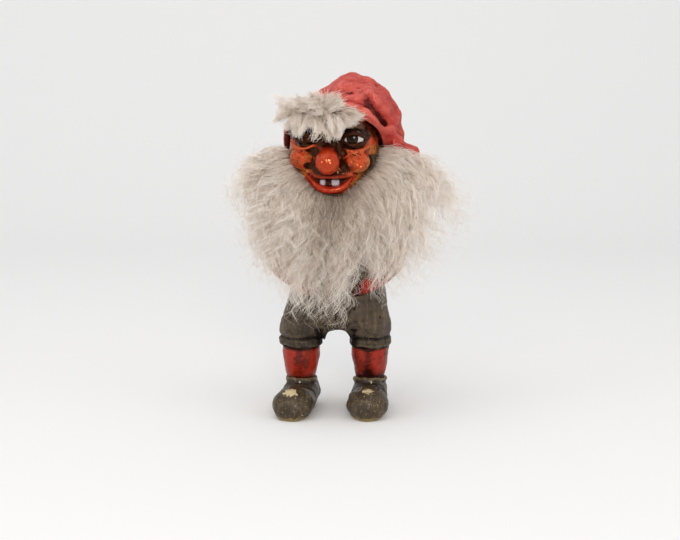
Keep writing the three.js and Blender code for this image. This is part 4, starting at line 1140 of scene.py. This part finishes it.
def looseStrands(rng, guide, length, u):  # between the locks, to fill the mass, toned darker as painted shade between them
    count, n = len(guide), woolLook["loose"]
    one = rng.integers(0, count, n)
    two = np.clip(one + rng.integers(-7, 8, n), 0, count - 1)
    share = rng.uniform(0, 1, (n, 1, 1))
    path = guide[one] * (1 - share) + guide[two] * share
    path = path[:, :int(path.shape[1] * looseReach)]
    s = np.linspace(0, 1, path.shape[1])
    path = path + rng.normal(0, 1.0, (n, 1, 3)) * (0.6 + 3.4 * s[None, :, None])
    path = crimped(path, s, length[one] * looseReach, woolLook["crimpHeight"] * rng.uniform(0.8, 1.9, n),
                   woolLook["crimp"] * rng.uniform(0.6, 1.6, n), rng.uniform(0, anyTurn, n))
    return path, rng.normal(-0.28, 0.12, n), u[one], 1.0


def wispStrands(rng):  # fine ones that curl right out of the outline
    n = woolLook["wisps"]
    u = np.concatenate([rng.uniform(-1, -0.45, n // 3), rng.uniform(0.45, 1, n // 3),
                        rng.uniform(-0.45, 0.45, n - 2 * (n // 3))])
    root, end = smoothRows(jawLine, u), smoothRows(woolEnd, u)
    tip = root + (end - root) * rng.uniform(0.85, 1.08, (n, 1)) + rng.normal(0, 3.5, (n, 3)) * (1, 0.6, 1)
    swing = np.stack([rng.normal(6, 6, n) * np.sign(u), rng.normal(-6, 5, n), rng.normal(10, 7, n)], 1)
    s = np.linspace(0, 1, 64)
    path = bent(root, root + (root - (0, 2, 150)) * 0.3, root + (tip - root) * 0.7 + swing, tip, s)
    turn = 2 * math.pi * (lengths(path) / rng.uniform(9, 20, n))[:, None] * s[None, :]**1.25
    turn = turn + rng.uniform(0, anyTurn, n)[:, None]
    size = (rng.uniform(1.2, 4.6, n) * np.where(np.abs(u) > 0.6, 1.5, 1.0))[:, None] * s[None, :]**1.6
    return coiled(path, turn, size), rng.normal(0.12, 0.1, n), u, 0.9


def curlStrands(rng):  # pale locks with big open curls lie on top, toned lighter as a painted highlight on the outer layer
    n, per = woolLook["curls"], woolLook["perCurl"]
    even = rng.uniform(-1, 1, n // 2)
    crowd = rng.choice([-0.5, -0.24, 0.14, 0.5], n - n // 2) + rng.normal(0, 0.09, n - n // 2)
    u = np.clip(np.concatenate([even, crowd]), -1, 1)
    root = smoothRows(jawLine, u)
    outward = outwardFrom(root, 0.35)
    reach = np.where(np.abs(u - cuffAt) < 0.05, 0.8, rng.uniform(0.72, 1.03, n))
    tip = root + (smoothRows(woolEnd, u) - root) * reach[:, None]
    tip += rng.normal(0, 3, (n, 3)) * (1, 0.2, 1)
    tip[:, 1] -= rng.uniform(1, 6, n)
    swing = np.stack([8 * np.sign(u) * np.abs(u)**1.2, rng.uniform(-13, -8, n), np.full(n, 8.0)], 1)
    s = np.linspace(0, 1, 52)
    curl = bent(root, root + outward * rng.uniform(10, 14, (n, 1)), root + (tip - root) * 0.62 + swing, tip, s)
    length = lengths(curl)
    turn = 2 * math.pi * (length / rng.uniform(13, 23, n))[:, None] * s[None, :]**1.15
    turn = turn + rng.uniform(0, anyTurn, (n, 1))
    size = rng.uniform(1.8, 4.4, (n, 1)) * np.clip(1.35 * s[None, :] - 0.1, 0, 1)**1.1
    curl = coiled(curl, turn, size, 0.8)
    who = np.repeat(np.arange(n), per)
    path = curl[who] + rng.normal(0, 0.75, (n * per, 1, 3)) * (0.8 + 0.5 * s[None, :, None])
    path = crimped(path, s, length[who], np.full(n * per, 0.3), rng.uniform(5, 9, n * per),
                   rng.uniform(0, anyTurn, n * per))
    return path, np.repeat(rng.normal(0.27, 0.12, n), per), u[who], 1.0


def fringeStrands(rng):  # short ones that cover the glue line
    n = woolLook["fringe"]
    u = rng.uniform(-1, 1, n)
    root = smoothRows(jawLine, u)
    outward = outwardFrom(root, 0.5)
    root = root + outward * rng.uniform(-2.5, 1.0, (n, 1)) + rng.normal(0, 0.8, (n, 3))
    root = root + np.stack([0 * u, -1.2 - 2.6 * np.clip(np.abs(u) * 2, 0, 1), 1.2 - 0.8 * np.abs(u)], 1)
    size = rng.uniform(9, 17, (n, 1))
    tip = root + outward * size * (1, 0.55, 1)
    tip = tip + np.stack([0 * u, rng.normal(-2, 1, n), rng.uniform(-9, -4, n)], 1)
    s = np.linspace(0, 1, 18)
    path = bent(root, root + outward * size * 0.4, tip + (0, -2.5, 3.5), tip, s)
    path = crimped(path, s, size[:, 0], rng.uniform(0.3, 0.9, n), rng.uniform(6, 11, n), rng.uniform(0, anyTurn, n))
    return path, rng.normal(-0.02, 0.12, n), u, 0.9


def strandPiece(name, path, tone, width, hold):  # three-sided tapered threads, each with its own strip of the layout
    n, rings = path.shape[:2]
    along = unit(np.gradient(path, axis=1))
    side = unit(np.cross(along, np.array([0.31, 0.52, 0.8])))
    up = np.cross(along, side)
    taper = np.clip(1.15 - 0.75 * np.linspace(0, 1, rings)**2, 0.2, 1) * 0.5
    taper[0] = 0.1
    corner = np.array([0, 2 * math.pi / 3, 4 * math.pi / 3])[None, None, :, None]
    ringOff = side[:, :, None, :] * np.cos(corner) + up[:, :, None, :] * np.sin(corner)
    points = path[:, :, None, :] + ringOff * (taper[None, :, None, None] * width[:, None, None, None])
    strand, ring, k = np.arange(n)[:, None, None], np.arange(rings - 1)[None, :, None], np.arange(3)[None, None, :]
    base, k1 = (strand * rings + ring) * 3, (k + 1) % 3
    quads = np.stack([base + k, base + k1, base + 3 + k1, base + 3 + k], -1).reshape(-1, 4)
    first, last = base[:, 0, 0], base[:, -1, 0] + 3
    ends = np.concatenate([np.stack([first, first + 2, first + 1], 1), np.stack([last, last + 1, last + 2], 1)])
    piece = bpy.data.objects.new(name, meshFrom(name, standing(points.reshape(-1, 3)), quads, ends))
    bpy.context.collection.objects.link(piece)
    left, right = (strand + (k + 0.15) / 3) / n, (strand + (k + 0.85) / 3) / n
    low, high = ring / (rings - 1), (ring + 1) / (rings - 1)
    corners = [np.broadcast_to(v, (n, rings - 1, 3)) for v in (left, low, right, low, right, high, left, high)]
    endUv = np.concatenate([np.stack([left[:, 0, 0], np.full(n, v)], 1) for v in (0.0, 1.0)]).repeat(3, axis=0)
    uv = np.concatenate([np.stack(corners, -1).ravel(), endUv.ravel()]).astype(np.float32)
    piece.data.uv_layers.new(name="OFBake").data.foreach_set("uv", uv)
    setMask(piece, "tone", np.repeat(tone.reshape(-1), 3))
    if hold == "blend":
        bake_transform(piece)
    else:
        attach(piece, "head")
    return piece


# in pieces that the export can carry whole
def strandPieces(rng, name, path, tone, thick, hold):  # in pieces of at most facesPerPiece faces
    chunk = facesPerPiece // (6 * path.shape[1])
    for number, start in enumerate(range(0, len(path), chunk)):
        part = slice(start, start + chunk)
        width = woolLook["strandWidth"] * rng.uniform(*thick, len(path[part]))
        woolPieces.append(strandPiece(f"{name}_{number}", path[part], tone[part], width, hold))


# tone with painted shade and light: darker at the roots and in the middle under the chin, lighter towards the tips, the
# sides, the tomte's left and low down, over each strand's own tone
def woolToneAndShade(path, base, s):
    x, z = path[..., 0], path[..., 2]
    away = np.clip(np.abs(x + 2) / 52, 0, 1)
    light = 0.40 + 0.36 * away**0.8 + 0.2 * s[None, :] + base[:, None]
    light += 0.16 * np.clip((x - 20) / 40, 0, 1) + 0.14 * np.clip((100 - z) / 40, 0, 1)
    light -= 0.44 * np.exp(-((x - 2) / 17)**2) * np.clip((z - 96) / 26, 0, 1)
    return light - 0.35 * (1 - np.clip(s[None, :] * 7, 0, 1))


woolPieces = []
rng = np.random.default_rng(woolLook["seed"])
locks, guides, guideLength, guideU, guideLayer = lockStrands(rng)
beardGroups = [locks, looseStrands(rng, guides, guideLength, guideU), wispStrands(rng), curlStrands(rng),
               fringeStrands(rng)]
for index, (path, tone, u, thick) in enumerate(beardGroups):
    path = offBody(path, 0.6)
    path[..., 0] = np.clip(path[..., 0], -77, 88.5)
    path[..., 1] = np.clip(path[..., 1], -53, 42)
    shade = woolToneAndShade(path, tone, np.linspace(0, 1, path.shape[1]))
    order = np.argsort(u, kind="stable")
    strandPieces(rng, f"beardWool_{index}", path[order], shade[order], (0.75 * thick, 1.25 * thick), "blend")
print("beard:", sum(len(p.data.polygons) for p in woolPieces), "faces in", len(woolPieces), "pieces")

# the felted underwool that the locks hide, toned dark as painted shade inside the mass
for node, low, high in (("beard_right", -1.01, -0.42), ("beard_chin", -0.42, 0.42), ("beard_left", 0.42, 1.01)):
    clay = newBlock((-58, -40, 84), (62, 18, 172), 0.9)
    chosen = (guideU >= low) & (guideU < high) & (guideLayer < 0.75) & (np.abs(guideU) < 0.62)
    for i in np.where(chosen)[0][::3]:
        line = offBody(guides[i][None, 5:27:4] + (0, 3.0, -1.0), 1.2)[0]
        rod(clay, np.column_stack([line, np.linspace(2.0, 0.8, len(line))]), soft=4, pieces=7)
    lumps(clay, 6, 0.5, 91)
    clay["d"][0], clay["d"][-1] = 5, 5  # keeps the skin closed at both ends of the block
    core, at = cast("underwool_" + node, clay, standing, "head", node)
    setMask(core, "tone", woolToneAndShade(at[:, None, :], np.full(len(at), -0.4), np.array([0.5]))[:, 0])
    woolPieces.append(core)


def forelockStrands(rng):  # tufts that spring from under the brim
    per, s = woolLook["perTuft"], np.linspace(0, 1, 16)
    centre = np.array([-9.0, -29.0, 183.5])
    spot = rng.uniform(-1, 1, (4 * woolLook["tufts"], 2))
    spot = spot[(spot**2).sum(1) < 1][:woolLook["tufts"]]
    tufts = len(spot)
    x = centre[0] + spot[:, 0] * 17
    z = centre[2] + spot[:, 1] * 6.0 - 0.1 * (x - centre[0])
    y = -27.5 * np.sqrt(np.clip(1 - (x / 31)**2, 0.05, 1)) - 0.5 + 0.25 * np.maximum(z - 181, 0)
    root = np.stack([x, y, z], 1)
    away = np.stack([(x - centre[0]) * 0.055, np.full(tufts, -0.45), (z - centre[2]) * 0.12 - 0.02], 1)
    away = unit(away + rng.normal(0, 0.36, (tufts, 3)))
    size = rng.uniform(9, 14.5, tufts)
    tip = root + away * size[:, None] + np.stack([0 * x, np.full(tufts, -1.0), rng.normal(-2.0, 1.5, tufts)], 1)
    first = root + (0, -4.5, 1.2)
    third = root + away * (0.75 * size)[:, None] + (0, -3.5, 1.5)
    who = np.repeat(np.arange(tufts), per)
    n = len(who)
    scatter = rng.normal(0, 1, (n, 3))
    path = bent(root[who] + scatter * 1.3, first[who] + scatter * 1.5, third[who] + scatter * 1.2,
                tip[who] + scatter * rng.choice([0.5, 2.0], (n, 1), p=[0.7, 0.3]), s)
    path = crimped(path, s, size[who], rng.uniform(0.15, 0.6, n), rng.uniform(5, 11, n), rng.uniform(0, anyTurn, n))
    path[..., 1] = np.clip(path[..., 1], -50, 0)
    # the wool stops above the brows
    lowest = np.interp(path[..., 0], [-34, -25.8, -18.5, -10.5, -3.5, 3.4, 5.4, 7.6, 14, 18.6],
                       [180, 174.6, 171.4, 171.0, 170.2, 171.4, 176.5, 180.4, 182.4, 185.0]) + rng.normal(0, 1.5, (n, 1))
    path[..., 2] = np.where(path[..., 2] < lowest, lowest - 0.15 * (lowest - path[..., 2]), path[..., 2])
    tuftTone = rng.normal(0, 0.2, tufts)
    # darker at the roots under the brim, lighter to the tips: painted shade over each tuft's own tone
    tone = 0.16 + 0.95 * s[None, :]**0.6 + (tuftTone[who] + rng.normal(0, 0.07, n))[:, None]
    return path, tone, root


path, tone, roots = forelockStrands(rng)
strandPieces(rng, "forelockWool", path, tone, (0.7, 1.15), "ride")
clay = newBlock((-36, -40, 168), (20, -14, 196), 0.7)
for spot in roots[::3]:
    ball(clay, spot + (0, 0.5, 0), (3.6, 2.6, 3.2), soft=3)
core, at = cast("underwool_forelock", clay, standing, "head", "forelock")
# the core under the tufts is toned dark: painted shade
setMask(core, "tone", np.full(len(at), 0.12))
woolPieces.append(core)

woolPaint = emptyMaterial("uncut goat wool")  # fine washed fibre: matt, with a soft silky light along its edge
tree = woolPaint.node_tree
toneIn = addNode(tree, "ShaderNodeAttribute", {"attribute_name": "tone"}).outputs["Fac"]
place = addNode(tree, "ShaderNodeTexCoord").outputs["Object"]
speckle = addNode(tree, "ShaderNodeTexNoise", None, {"Vector": place, "Scale": 260.0, "Detail": 3.0})  # about 4 mm
mixed = addNode(tree, "ShaderNodeMath", {"operation": "MULTIPLY_ADD"}, {0: speckle.outputs[0], 1: 0.3, 2: -0.15})
tone = addNode(tree, "ShaderNodeMath", {"operation": "ADD"}, {0: toneIn, 1: mixed.outputs[0]})
# from the darkest colour, painted shade deep in the wool, through the middle colour to the pale tips
lower = addNode(tree, "ShaderNodeMapRange", None, {"Value": tone.outputs[0], "From Min": 0.0, "From Max": 0.5})
upper = addNode(tree, "ShaderNodeMapRange", None, {"Value": tone.outputs[0], "From Min": 0.5, "From Max": 1.0})
dark = addNode(tree, "ShaderNodeMix", {"data_type": "RGBA"}, {0: lower.outputs[0], 6: linear(woolLook["root"]),
                                                            7: linear(woolLook["middle"])})
wool = addNode(tree, "ShaderNodeMix", {"data_type": "RGBA"}, {0: upper.outputs[0], 6: dark.outputs[2],
                                                            7: linear(woolLook["tip"])})
shader = addNode(tree, "ShaderNodeBsdfPrincipled", None, {
    "Base Color": wool.outputs[2], "Roughness": 0.6, "IOR": 1.5, "Specular IOR Level": 0.35, "Sheen Weight": 0.3,
    "Sheen Roughness": 0.5, "Sheen Tint": linear("#ffeedd")})
addNode(tree, "ShaderNodeOutputMaterial", None, {"Surface": shader.outputs[0]})
for piece in woolPieces:
    dress(piece, woolPaint)
print("wool ready")


# CAD parts that stay: the hide strips and the joining dowels

hideLook = {"base": ("#3a2b1f", "#57432f"), "washAndShade": "#150e09", "roughness": 0.75, "mottle": 4, "bump": 0.12, "shine": 0.3}
beechLook = {"base": ("#b98f5e", "#cfa877"), "washAndShade": "#4a2f1a", "grain": "#94683c", "roughness": 0.6, "mottle": 6}
hidePaint = oldPaint("dark rubbed hide", hideLook)  # tanned goat skin, flesh side out: dull, uneven brown
finishPaint(hidePaint)
beechWood = oldPaint("turned beech", beechLook)  # bare wood: pale, dull, with fine darker bands
grainLine = addNode(beechWood["tree"], "ShaderNodeTexWave", {"wave_type": "BANDS", "bands_direction": "X"},
                    {"Vector": beechWood["place"], "Scale": 260.0, "Distortion": 3.0, "Detail": 3.0})
layer(beechWood, grainLine.outputs[0], beechLook["grain"], 0.45, 0.3, (0.55, 0.95))
finishPaint(beechWood)
for item in bpy.data.objects:
    if item.type == "MESH" and not item.hide_render:
        if item.name.startswith("hide_"):
            dress(item, hidePaint["material"])
        elif "dowel" in item.name:
            dress(item, beechWood["material"])
print("hide and dowels finished")

bpy.context.scene.cycles.diffuse_bounces = 10  # pale wool needs the light to go on between its threads
